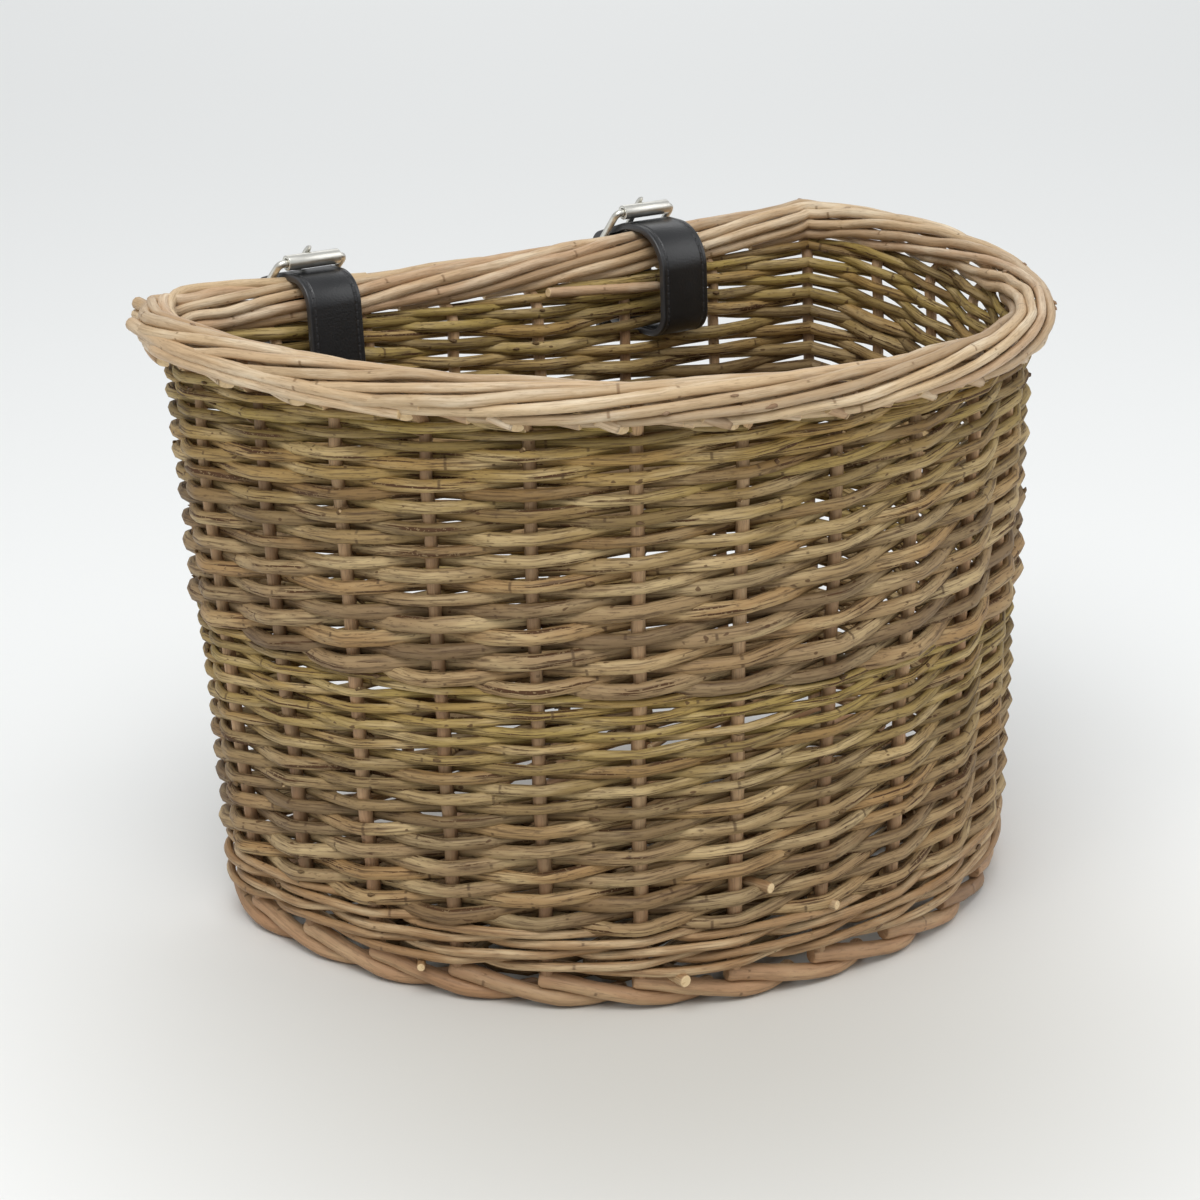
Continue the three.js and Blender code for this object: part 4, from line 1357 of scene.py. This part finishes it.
@dataclass
class Base:
    """The woven base: sticks from back to front and a pair of rods that go to and fro across them."""

    plan: Plan
    inset: float = 0.0085
    weaver_width: float = 0.007
    weaver_height: float = 0.0038
    weaver_gap: float = 0.0005
    lane_share: float = 0.262
    stick_radius: float = 0.0022
    stick_margin: float = 0.0225
    sticks: int = 4
    stick_spacing: float = 0.070
    narrowest: float = 0.045
    clearance: float = 0.0003
    foot_radius: float = 0.0035
    seed: int = 700

    def half_width(self, outline: np.ndarray, y: float) -> float:
        """Half of the base's width at a depth.

        Args:
            outline: The base's outline.
            y: The depth.

        Returns:
            Half of the width there.
        """
        a, b = outline[:-1], outline[1:]
        crosses = ((a[:, 1] - y) * (b[:, 1] - y) <= 0) & (a[:, 1] != b[:, 1])
        a, b = a[crosses], b[crosses]
        if not len(a):
            return 0.0
        return float(np.abs(a[:, 0] + (b[:, 0] - a[:, 0]) * (y - a[:, 1]) / (b[:, 1] - a[:, 1])).max())

    def make(self, finish: bpy.types.Material, stick_finish: bpy.types.Material) -> None:
        """Weaves the base.

        Args:
            finish: The weaver's finish.
            stick_finish: The sticks' finish.
        """
        reach = self.stick_radius + self.weaver_height / 2 + self.clearance
        swing = reach / math.cos(math.atan2(2 * reach, self.stick_spacing))
        edge = self.foot_radius * (math.cos(math.pi / 5) + 1) + self.clearance + self.weaver_height / 2
        level = edge + swing
        places = np.arange(0, self.plan.gaps + 0.01, 0.25)
        outline = self.plan.beside(places, np.full(len(places), level), -self.inset)
        pitch = self.weaver_width + self.weaver_gap
        back = outline[:, 1].max() - self.clearance
        depths = []
        y = back - self.weaver_width / 2
        while self.half_width(outline, y - pitch) > self.narrowest:
            depths.append(y)
            y -= pitch
        lift = self.plan.centre[2]
        spots = (np.arange(self.sticks) - (self.sticks - 1) / 2) * self.stick_spacing

        def turn(row: int) -> float:
            """Half of the weaver's width where it turns.

            Args:
                row: The row before the turn.

            Returns:
                The turn's distance from the middle.
            """
            near = depths[max(row, 0)] + self.weaver_width / 2
            far = depths[min(row + 1, len(depths) - 1)] - self.weaver_width / 2
            return min(self.half_width(outline, near), self.half_width(outline, far)) - self.weaver_width / 2

        bundle = Bundle()
        fronts: dict[int, float] = {}
        for lane in (-1, 1):
            stations = []
            for row, depth in enumerate(depths):
                forward = 1 if row % 2 == 0 else -1
                start, end = turn(row - 1), turn(row)
                y = depth + lane * forward * self.weaver_width * 0.25
                stations.append((-forward * start, y, edge))
                crossed = [x for x in spots
                           if abs(x) < (end if x * forward > 0 else start) - self.stick_margin]
                for x in crossed[::forward]:
                    stick = int(np.abs(spots - x).argmin())
                    over = 1 if (stick + row) % 2 == 0 else -1
                    stations.append((x, y, level + over * swing))
                    fronts[stick] = depth - self.weaver_width / 2
                stations.append((forward * end, y, edge))
            points = np.array(stations) + (0, 0, lift)
            count = len(points)
            bundle.add(Rod(points, np.full(count, self.weaver_width * self.lane_share),
                           np.full(count, self.weaver_height / 2), np.linspace(0, 1, count),
                           self.seed + lane, samples=5, sides=8, buds=30.0))
        settle(bundle.piece("base_weave", finish), "basket", "willow_base", "base_weaver")
        rods = Bundle()
        for stick, x in enumerate(spots):
            depth = np.linspace(back, fronts[stick], 6)
            points = np.stack([np.full(6, x), depth, np.full(6, level + lift)], axis=1)
            rods.add(round_rod(points, self.stick_radius, np.linspace(0, 1, 6), self.seed + 10 + stick,
                               sides=10))
        names = [f"base_stick_{stick + 1}" for stick in range(self.sticks)]
        settle(rods.piece("base_sticks", stick_finish), "basket", "willow_stake", *names)


# Straps and buckles


def primitive(kind: str, name: str, apply: bool = False, **settings: Any) -> bpy.types.Object:
    """Adds a primitive with nothing else selected and names it and its mesh.

    Args:
        kind: The primitive's kind, as in its operator's name.
        name: The new name.
        apply: Whether its place and turn go into its mesh.
        settings: The operator's settings.

    Returns:
        The new object.
    """
    bpy.ops.object.select_all(action="DESELECT")
    getattr(bpy.ops.mesh, f"primitive_{kind}_add")(**settings)
    made = bpy.context.active_object
    made.name = made.data.name = name
    if apply:
        bpy.ops.object.transform_apply(location=True, rotation=True, scale=True)
    return made


@contextmanager
def editing(action: Optional[str] = None, mode: Optional[str] = None) -> Iterator[None]:
    """Opens the active piece for editing and closes it again.

    Args:
        action: What happens to its selection first, or None to leave it.
        mode: The kind of element that is picked, or None for the one in use.
    """
    bpy.ops.object.mode_set(mode="EDIT")
    if mode:
        bpy.ops.mesh.select_mode(type=mode)
    if action:
        bpy.ops.mesh.select_all(action=action)
    yield
    bpy.ops.object.mode_set(mode="OBJECT")


def fix(piece: bpy.types.Object, kind: str, **settings: Any) -> None:
    """Adds a modifier to a piece and applies it.

    Args:
        piece: The piece.
        kind: The modifier's type.
        settings: Its settings.
    """
    bpy.ops.object.select_all(action="DESELECT")
    piece.select_set(True)
    bpy.context.view_layer.objects.active = piece
    modifier = piece.modifiers.new(kind.lower(), kind)
    for key, value in settings.items():
        setattr(modifier, key, value)
    bpy.ops.object.modifier_apply(modifier=modifier.name)


def rounded(corners: Sequence[tuple[float, float, float]], step: float = math.radians(4)) -> np.ndarray:
    """Draws a path of straight runs with round corners.

    Args:
        corners: Each corner's place and its radius.
        step: The turn between the points of a round corner.

    Returns:
        The path's points, a row each.
    """
    at = [np.array(c[:2]) for c in corners]
    path = [at[0]]
    for i in range(1, len(at) - 1):
        radius = corners[i][2]
        back = (at[i - 1] - at[i]) / np.linalg.norm(at[i - 1] - at[i])
        on = (at[i + 1] - at[i]) / np.linalg.norm(at[i + 1] - at[i])
        inner = math.acos(float(np.clip(back @ on, -1, 1)))
        heart = at[i] + (back + on) / np.linalg.norm(back + on) * radius / math.sin(inner / 2)
        spoke = at[i] + back * radius / math.tan(inner / 2) - heart
        way = 1.0 if on[0] * back[1] - on[1] * back[0] > 0 else -1.0
        turn = math.pi - inner
        steps = max(1, round(turn / step))
        for k in range(steps + 1):
            angle = way * turn * k / steps
            c, s = math.cos(angle), math.sin(angle)
            path.append(heart + np.array([spoke[0] * c - spoke[1] * s, spoke[0] * s + spoke[1] * c]))
    path.append(at[-1])
    kept = [path[0]]
    for point in path[1:]:
        if np.linalg.norm(point - kept[-1]) > 0.00005:
            kept.append(point)
    return np.array(kept)


def ribbon(name: str, path: np.ndarray, edge: Vector, closed: bool = False) -> bpy.types.Object:
    """Draws an edge out along a path into a sheet, and maps it across and along.

    Args:
        name: The sheet's name.
        path: The path's points.
        edge: The edge that is drawn, as a vector centred on the path.
        closed: Whether the sheet's ends meet.

    Returns:
        The sheet.
    """
    sheet = primitive("plane", name, size=1)
    mesh = sheet.data
    with editing("DESELECT"):
        pass
    for vertex in mesh.vertices[2:]:
        vertex.select = True
    with editing():
        bpy.ops.mesh.delete(type="VERT")
    start = Vector(path[0])
    for vertex, share in zip(mesh.vertices, (-0.5, 0.5)):
        vertex.co = start + edge * share
        vertex.select = True
    mesh.edges[0].select = True
    with editing(mode="EDGE"):
        for before, after in zip(path[:-1], path[1:]):
            step = {"value": tuple(float(v) for v in after - before)}
            bpy.ops.mesh.extrude_edges_move(TRANSFORM_OT_translate=step)
        if closed:
            bpy.ops.mesh.select_all(action="SELECT")
            bpy.ops.mesh.remove_doubles(threshold=0.00002)
    return sheet


def map_ribbon(sheet: bpy.types.Object, path: np.ndarray, edge: Vector) -> None:
    """Maps a sheet: U across from its middle, V along its path, in metres.

    Args:
        sheet: The sheet.
        path: The path's points.
        edge: The edge's vector.
    """
    mesh = sheet.data
    across = np.array(edge.normalized())
    steps = np.concatenate([[0], np.cumsum(np.linalg.norm(np.diff(path, axis=0), axis=1))])
    layer = mesh.uv_layers.active or mesh.uv_layers.new(name="UVMap")
    layer.name = "UVMap"
    values = {}
    for vertex in mesh.vertices:
        co = np.array(vertex.co)
        a, d = path[:-1], np.diff(path, axis=0)
        share = np.clip(((co - a) * d).sum(1) / (d * d).sum(1), 0, 1)
        spot = a + d * share[:, None]
        gap = co - spot
        gap -= np.outer(gap @ across, across)
        best = int(np.linalg.norm(gap, axis=1).argmin())
        values[vertex.index] = ((co - path[0]) @ across, steps[best] + share[best] * np.linalg.norm(d[best]))
    for loop in mesh.loops:
        layer.data[loop.index].uv = values[loop.vertex_index]


@dataclass
class Strap:
    """A strap closed over the back rim, with its roller buckle and keeper."""

    plan: Plan
    side: str
    x: float
    slot_height: float
    bulge: float
    foot_bulge: float
    top_radius: float
    foot_radius: float
    bar: tuple[float, float]
    frame_tilt: float
    width: float = 0.025
    thickness: float = 0.003
    crown: float = 0.0117
    crown_setback: float = 0.003
    crown_radius: float = 0.014
    outer_run_radius: float = 0.008
    tail_drop: float = 0.044
    fold_drop: float = 0.029
    layer_lead: float = 0.003
    layer_bend: float = 0.006
    layer_bend_radius: float = 0.005
    clearance: float = 0.0003
    frame_length: float = 0.024
    wire_radius: float = 0.0016
    frame_inner_width: float = 0.028
    roller_radius: float = 0.0032
    prong_radius: float = 0.0015
    prong_eye_width: float = 0.004
    prong_overhang: float = 0.003
    keeper_height: float = 0.009
    keeper_wall: float = 0.0018
    keeper_travel: tuple[float, float] = (0.003, 0.0015)
    hole_radius: float = 0.002
    hole_spacing: float = 0.012
    tail_corner: float = 0.008
    sweep_length: float = 0.032
    keeper_corner: float = 0.0016

    @cached_property
    def centre(self) -> np.ndarray:
        """The rim's centre where the strap crosses it."""
        spot = self.plan.rim_centre(np.array([self.plan.place_on_back(self.x)]))[0]
        return np.array([self.x + self.plan.centre[0], spot[1], spot[2]])

    @property
    def slot(self) -> float:
        """The strap's way through the wall, measured up from the rim's centre."""
        return self.slot_height + self.plan.centre[2] - self.centre[2]

    @property
    def fold_radius(self) -> float:
        """The radius of the strap's middle round the buckle's bar."""
        return self.wire_radius + self.clearance + self.thickness / 2

    @property
    def layer(self) -> float:
        """The distance between two layers' middles."""
        return self.thickness + self.clearance

    @cached_property
    def tilt(self) -> np.ndarray:
        """The direction of the buckle's frame, out and up."""
        tilt = math.radians(self.frame_tilt)
        return np.array([-math.cos(tilt), math.sin(tilt)])

    @property
    def layer_turn(self) -> float:
        """The angle of the outer layers' bend beneath the fold."""
        return math.atan2(2 * self.fold_radius - self.layer, self.layer_bend)

    @property
    def keeper_level(self) -> float:
        """The height of the keeper's middle on the straight run of the three layers."""
        wide = self.layer_bend_radius + self.layer
        top = self.bar[1] - self.layer_lead - self.layer_bend - wide * math.tan(self.layer_turn / 2)
        foot = self.slot + self.outer_run_radius
        return (top + foot + self.keeper_travel[0] - self.keeper_travel[1]) / 2

    @cached_property
    def path(self) -> np.ndarray:
        """The middle of the strap, from its tail round the rim to the folded end, out and up."""
        bar = np.array(self.bar)
        crown = np.array([self.crown_setback, self.crown])
        to_bar = bar - crown
        reach = math.hypot(*to_bar)
        tail_radius = self.fold_radius + self.layer
        slope = math.tan(math.atan2(to_bar[1], to_bar[0]) + math.asin(tail_radius / reach))
        tail_out, inner_out = bar[0] + tail_radius, bar[0] - self.fold_radius
        bend_top = bar[1] - self.layer_lead
        bend_foot = bend_top - self.layer_bend
        lower = self.layer * math.tan(self.layer_turn / 2)
        wide = self.layer_bend_radius + self.layer
        return rounded([
            (inner_out + 2 * self.layer, -self.tail_drop, 0),
            (inner_out + 2 * self.layer, bend_foot - lower, self.layer_bend_radius),
            (tail_out, bend_top - lower, wide),
            (tail_out, crown[1] + slope * (tail_out - crown[0]), tail_radius),
            (crown[0], crown[1], self.crown_radius),
            (-self.bulge, self.crown, self.top_radius),
            (-self.foot_bulge, self.slot, self.foot_radius),
            (inner_out, self.slot, self.outer_run_radius),
            (inner_out, bar[1] + self.fold_radius, self.fold_radius),
            (bar[0] + self.fold_radius, bar[1] + self.fold_radius, self.fold_radius),
            (bar[0] + self.fold_radius, bend_top, self.layer_bend_radius),
            (inner_out + self.layer, bend_foot, wide),
            (inner_out + self.layer, -self.fold_drop, 0),
        ])

    def in_place(self, section: np.ndarray, across: float = 0.0) -> np.ndarray:
        """Sets points of the section into the basket.

        Args:
            section: Distances out and up from the rim's centre.
            across: How far from the strap's middle they lie.

        Returns:
            The points, a row each.
        """
        section = np.atleast_2d(section)
        x = np.full(len(section), self.centre[0] + across)
        return np.stack([x, self.centre[1] + section[:, 0], self.centre[2] + section[:, 1]], axis=1)

    @property
    def frame_axes(self) -> Matrix:
        """What sets a buckle part, drawn flat with its bar along X, into the basket.

        X turns to the left, which keeps the faces outward; the parts are alike on both sides.
        """
        along = Vector((0, self.tilt[0], self.tilt[1]))
        out = Vector((0, self.tilt[1], -self.tilt[0]))
        origin = self.in_place(np.array(self.bar))[0]
        axes = Matrix((Vector((-1, 0, 0)), along, out)).transposed().to_4x4()
        return Matrix.Translation(Vector(origin)) @ axes

    def make_strap(self, finish: bpy.types.Material) -> None:
        """Draws the strap along its path, rounds its edges, punches it and merges the punches' slivers.

        Args:
            finish: The leather.
        """
        path = self.in_place(self.path)
        edge = Vector((self.width, 0, 0))
        strap = ribbon(f"strap_{self.side}_leather", path, edge)
        low = min(vertex.co.z for vertex in strap.data.vertices)
        for vertex in strap.data.vertices:
            vertex.select = abs(vertex.co.z - low) < 1e-6
        with editing(mode="VERT"):
            bpy.ops.mesh.bevel(offset=self.tail_corner, segments=7, affect="VERTICES", profile=0.5)
        map_ribbon(strap, path, edge)
        fix(strap, "SOLIDIFY", thickness=self.thickness, offset=0.0, use_even_offset=True)
        fix(strap, "BEVEL", width=0.00055, segments=3, limit_method="ANGLE", angle_limit=math.radians(50))
        for cutter in self.cutters():
            fix(strap, "BOOLEAN", operation="DIFFERENCE", solver="EXACT", object=cutter)
            bpy.data.objects.remove(cutter)
        with editing("SELECT"):
            bpy.ops.mesh.remove_doubles(threshold=0.00001)
            bpy.ops.mesh.dissolve_degenerate(threshold=0.000001)
        bpy.ops.object.shade_smooth_by_angle(angle=math.radians(35))
        strap.data.materials.clear()
        strap.data.materials.append(finish)
        settle(strap, "basket", "strap_leather", f"strap_{self.side}")

    def cutters(self) -> list[bpy.types.Object]:
        """Solids that open the prong's slit and the tail's holes."""
        slit = self.prong_eye_width + 2 * self.clearance
        bar = self.in_place(np.array(self.bar))[0]
        room = self.wire_radius + 2 * self.clearance + 2 * self.prong_radius
        eye = primitive("cylinder", "eye_room", vertices=32, radius=room, depth=slit + self.clearance,
                        location=bar, rotation=(0, math.pi / 2, 0))
        sweep = primitive("cube", "prong_room", size=1)
        half = self.prong_radius + 2 * self.clearance + 0.001
        sweep.data.transform(Matrix.Translation((0, self.sweep_length / 2, self.fold_radius))
                             @ Matrix.Diagonal((slit, self.sweep_length, 2 * half, 1)))
        sweep.data.transform(self.frame_axes)
        made = [eye, sweep]
        tail_out = self.bar[0] - self.fold_radius + 2 * self.layer
        for hole in (1, 2):
            spot = self.in_place(np.array([tail_out, -self.tail_drop + self.hole_spacing * (hole - 0.5)]))[0]
            made.append(primitive("cylinder", "hole_punch", vertices=24, radius=self.hole_radius,
                                  depth=2 * self.thickness, location=spot, rotation=(math.pi / 2, 0, 0)))
        return made

    def make_frame(self, finish: bpy.types.Material) -> None:
        """Bends a wire into the buckle's frame: runs are extruded and corners spun.

        Args:
            finish: The nickel.
        """
        half = self.frame_inner_width / 2 + self.wire_radius
        corner = half - self.width / 2 - self.clearance
        wire = primitive("circle", f"buckle_{self.side}_frame", apply=True, vertices=16,
                         radius=self.wire_radius, location=(-half + corner, 0, 0),
                         rotation=(0, math.pi / 2, 0))
        across, deep = 2 * (half - corner), self.frame_length - 2 * corner
        turns = (
            ((across, 0, 0), (half - corner, corner, 0)),
            ((0, deep, 0), (half - corner, self.frame_length - corner, 0)),
            ((-across, 0, 0), (-half + corner, self.frame_length - corner, 0)),
            ((0, -deep, 0), (-half + corner, corner, 0)),
        )
        with editing("SELECT"):
            for run, heart in turns:
                bpy.ops.mesh.extrude_region_move(TRANSFORM_OT_translate={"value": run})
                bpy.ops.mesh.spin(steps=6, angle=-math.pi / 2, center=heart, axis=(0, 0, 1))
            bpy.ops.mesh.select_all(action="SELECT")
            bpy.ops.mesh.remove_doubles(threshold=0.00002)
            bpy.ops.mesh.normals_make_consistent(inside=False)
        wire.data.transform(self.frame_axes)
        bpy.ops.object.shade_smooth()
        wire.data.materials.append(finish)
        settle(wire, f"buckle_{self.side}", "buckle_nickel", f"buckle_frame_{self.side}")

    def make_roller(self, finish: bpy.types.Material) -> None:
        """Turns the roller: a tube with rounded ends.

        Args:
            finish: The nickel.
        """
        inner = self.wire_radius + self.clearance
        roller = primitive("cylinder", f"buckle_{self.side}_roller", apply=True, vertices=48,
                           radius=self.roller_radius, depth=self.width, location=(0, self.frame_length, 0),
                           rotation=(0, math.pi / 2, 0), end_fill_type="NOTHING")
        fix(roller, "SOLIDIFY", thickness=self.roller_radius - inner, offset=-1.0)
        fix(roller, "BEVEL", width=0.0003, segments=2, limit_method="ANGLE", angle_limit=math.radians(50))
        roller.data.transform(self.frame_axes)
        bpy.ops.object.shade_smooth_by_angle(angle=math.radians(40))
        roller.data.materials.append(finish)
        settle(roller, f"roller_{self.side}", "buckle_nickel", f"buckle_roller_{self.side}")

    def make_prong(self, finish: bpy.types.Material) -> None:
        """Bends the prong: its eye is spun round the bar and its tine drawn out over the roller.

        Args:
            finish: The nickel.
        """
        around = self.wire_radius + self.clearance + self.prong_radius
        over = self.roller_radius + self.clearance + self.prong_radius
        prong = primitive("circle", f"buckle_{self.side}_prong", apply=True, vertices=14,
                          radius=self.prong_radius * 0.98, location=(0, 0, around),
                          rotation=(math.pi / 2, 0, 0), fill_type="NGON")
        reach = self.frame_length + self.prong_overhang
        runs = ((0.35, 0.2, 1.0), (0.75, 0.72, 1.0), (0.98, 0.98, 0.94), (1.06, 0.98, 0.82),
                (1.115, 0.82, 0.55))
        before = (0.0, 0.0)
        with editing("SELECT", "FACE"):
            for along, lift, girth in runs:
                here = (min(along * self.frame_length, reach), (over - around) * lift)
                step = (0, here[0] - before[0], here[1] - before[1])
                bpy.ops.mesh.extrude_region_move(TRANSFORM_OT_translate={"value": step})
                if girth < 1:
                    bpy.ops.transform.resize(value=(girth, 1, girth),
                                             center_override=(0, here[0], around + here[1]))
                before = here
            bpy.ops.mesh.select_all(action="DESELECT")
        for polygon in prong.data.polygons:
            polygon.select = abs(polygon.center.y) < 1e-5 and len(polygon.vertices) > 4
        with editing():
            bpy.ops.mesh.spin(steps=20, angle=math.radians(-335), center=(0, 0, 0), axis=(1, 0, 0))
            bpy.ops.mesh.select_all(action="SELECT")
            bpy.ops.mesh.remove_doubles(threshold=0.00001)
            bpy.ops.mesh.normals_make_consistent(inside=False)
        prong.data.transform(self.frame_axes)
        bpy.ops.object.shade_smooth_by_angle(angle=math.radians(50))
        prong.data.materials.append(finish)
        settle(prong, f"prong_{self.side}", "buckle_nickel", f"buckle_prong_{self.side}")

    def make_keeper(self, finish: bpy.types.Material) -> None:
        """Draws the keeper's band round the three layers.

        Args:
            finish: The leather.
        """
        inner_out = self.bar[0] - self.fold_radius
        across = self.width / 2 + self.clearance + self.keeper_wall / 2
        deep = self.layer + self.thickness / 2 + self.clearance + self.keeper_wall / 2
        corner = self.keeper_corner
        loop = rounded([(0, -deep, 0), (across, -deep, corner), (across, deep, corner),
                        (-across, deep, corner), (-across, -deep, corner), (0, -deep, 0)], math.radians(15))
        middle = self.in_place(np.array([inner_out + self.layer, self.keeper_level]))[0]
        path = np.array(middle) + np.column_stack([loop, np.zeros(len(loop))])
        edge = Vector((0, 0, self.keeper_height))
        keeper = ribbon(f"keeper_{self.side}_leather", path, edge, closed=True)
        map_ribbon(keeper, path, edge)
        fix(keeper, "SOLIDIFY", thickness=self.keeper_wall, offset=0.0, use_even_offset=True)
        fix(keeper, "BEVEL", width=0.0004, segments=2, limit_method="ANGLE", angle_limit=math.radians(50))
        bpy.ops.object.shade_smooth_by_angle(angle=math.radians(40))
        keeper.data.materials.append(finish)
        settle(keeper, f"keeper_{self.side}", "strap_leather", f"strap_keeper_{self.side}")

    def make(self, leather: bpy.types.Material, keeper_leather: bpy.types.Material,
             nickel: bpy.types.Material) -> None:
        """Makes the strap and all that hangs on it.

        Args:
            leather: The strap's finish.
            keeper_leather: The keeper's finish.
            nickel: The buckle's finish.
        """
        self.make_strap(leather)
        self.make_frame(nickel)
        self.make_roller(nickel)
        self.make_prong(nickel)
        self.make_keeper(keeper_leather)


# Studio


@dataclass(frozen=True)
class Studio:
    """A seamless pale floor, soft light and a camera at the photograph's angle."""

    azimuth: float = math.radians(-37.38)
    elevation: float = math.radians(18.87)
    distance: float = 1.27711
    lens: float = 87.73
    across: float = -0.02090
    up: float = 0.02889
    roll: float = math.radians(0.51)
    target: tuple[float, float, float] = (0.0, 0.078315, 0.13009)
    floor_size: float = 14.0
    sky: float = 0.62
    key_power: float = 34.0
    fill_power: float = 10.0
    floor_power: float = 26.0
    aim: tuple[float, float, float] = (0.0, 0.0, 0.12)
    key_spot: tuple[float, float, float] = (-0.9, -0.7, 2.1)
    fill_spot: tuple[float, float, float] = (1.6, -1.2, 1.5)
    lamp_size: float = 1.6
    floor_spot: tuple[float, float, float] = (2.3, 3.1, 2.4)
    floor_aim: tuple[float, float, float] = (2.3, 3.1, 0.0)
    floor_lamp_size: float = 3.0
    sky_colour: int = 0xF4F6F8

    def make_camera(self) -> None:
        """Sets the camera."""
        az, el = self.azimuth, self.elevation
        back = Vector((math.sin(az) * math.cos(el), -math.cos(az) * math.cos(el), math.sin(el)))
        right = Vector((math.cos(az), math.sin(az), 0))
        top = back.cross(right)
        spot = Vector(self.target) + back * self.distance - right * self.across - top * self.up
        tilted = right * math.cos(self.roll) + top * math.sin(self.roll)
        raised = top * math.cos(self.roll) - right * math.sin(self.roll)
        lens = bpy.data.cameras.new("photo_camera")
        lens.lens = self.lens
        lens.sensor_width = 36.0
        lens.clip_end = 100.0
        camera = bpy.data.objects.new("photo_camera", lens)
        camera.matrix_world = Matrix.Translation(spot) @ Matrix((tilted, raised, back)).transposed().to_4x4()
        bpy.context.collection.objects.link(camera)
        bpy.context.scene.camera = camera

    def make_floor(self, paper: bpy.types.Material) -> None:
        """Lays the floor.

        Args:
            paper: Its finish.
        """
        floor = primitive("plane", "studio_floor", size=self.floor_size)
        floor.data.materials.append(paper)

    def make_lamp(self, name: str, power: float, size: float, spot: Sequence[float],
                  aim: Sequence[float]) -> None:
        """Hangs a square soft lamp.

        Args:
            name: Its name.
            power: Its power, in watts.
            size: The length of its side.
            spot: Where it hangs.
            aim: What it faces.
        """
        light = bpy.data.lights.new(name, "AREA")
        light.energy = power
        light.size = size
        lamp = bpy.data.objects.new(name, light)
        lamp.location = spot
        lamp.rotation_euler = (Vector(spot) - Vector(aim)).to_track_quat("Z", "Y").to_euler()
        bpy.context.collection.objects.link(lamp)

    def make(self, paper: bpy.types.Material) -> None:
        """Sets up floor, light and view.

        Args:
            paper: The floor's finish.
        """
        self.make_camera()
        self.make_floor(paper)
        self.make_lamp("key_lamp", self.key_power, self.lamp_size, self.key_spot, self.aim)
        self.make_lamp("fill_lamp", self.fill_power, self.lamp_size, self.fill_spot, self.aim)
        self.make_lamp("floor_lamp", self.floor_power, self.floor_lamp_size, self.floor_spot, self.floor_aim)
        world = bpy.data.worlds.new("soft_sky")
        world.use_nodes = True
        sky = world.node_tree.nodes["Background"]
        sky.inputs["Color"].default_value = srgb(self.sky_colour)
        sky.inputs["Strength"].default_value = self.sky
        bpy.context.scene.world = world
        bpy.context.scene.view_settings.view_transform = "Standard"


def main() -> None:
    """Builds the studio, then the basket from the foot up, and reports each piece."""
    logging.basicConfig(level=logging.INFO, format="%(name)s %(message)s")
    plan = Plan()
    finishes = {kind: kind.value.dress() for kind in Rods}
    leather = CoatedLeather().dress()
    keeper_leather = CoatedLeather(name="keeper_leather", half_width=0.0045, line_inset=0.0012,
                                   line_width=0.0007).dress()
    nickel = Nickel().dress()
    Studio().make(Paper().dress())
    straps = (
        Strap(plan, "left", x=-0.0985, slot_height=0.20608, bulge=0.0155, foot_bulge=0.0205,
              top_radius=0.012, foot_radius=0.004, bar=(0.0165, 0.0005), frame_tilt=45.0),
        Strap(plan, "right", x=0.0795, slot_height=0.20666, bulge=0.0225, foot_bulge=0.0255,
              top_radius=0.018, foot_radius=0.009, bar=(0.0196, -0.0016), frame_tilt=52.0),
    )
    ways = tuple(StrapWay(plan.place_on_back(strap.x), strap.slot_height) for strap in straps)
    Stakes(plan).make(finishes[Rods.STAKE])
    Base(plan).make(finishes[Rods.BASE], finishes[Rods.STAKE])
    Wale(plan).make(finishes[Rods.WALE])
    bands = (
        Band(plan, "weave_lower", bottom=0.0336, top=0.1298,
             nodes=("weave_lower_1", "weave_lower_2"), seed=1000),
        Band(plan, "weave_upper", bottom=0.1298, top=0.2345,
             nodes=("weave_upper_1", "weave_upper_2"), seed=2000, rows=24, ways=ways, follows_rim=1.0),
    )
    for band in bands:
        band.make(finishes[Rods.BARK])
    RimBorder(plan).make(finishes[Rods.PEELED])
    for strap in straps:
        strap.make(leather, keeper_leather, nickel)


if __name__ == "__main__":
    main()
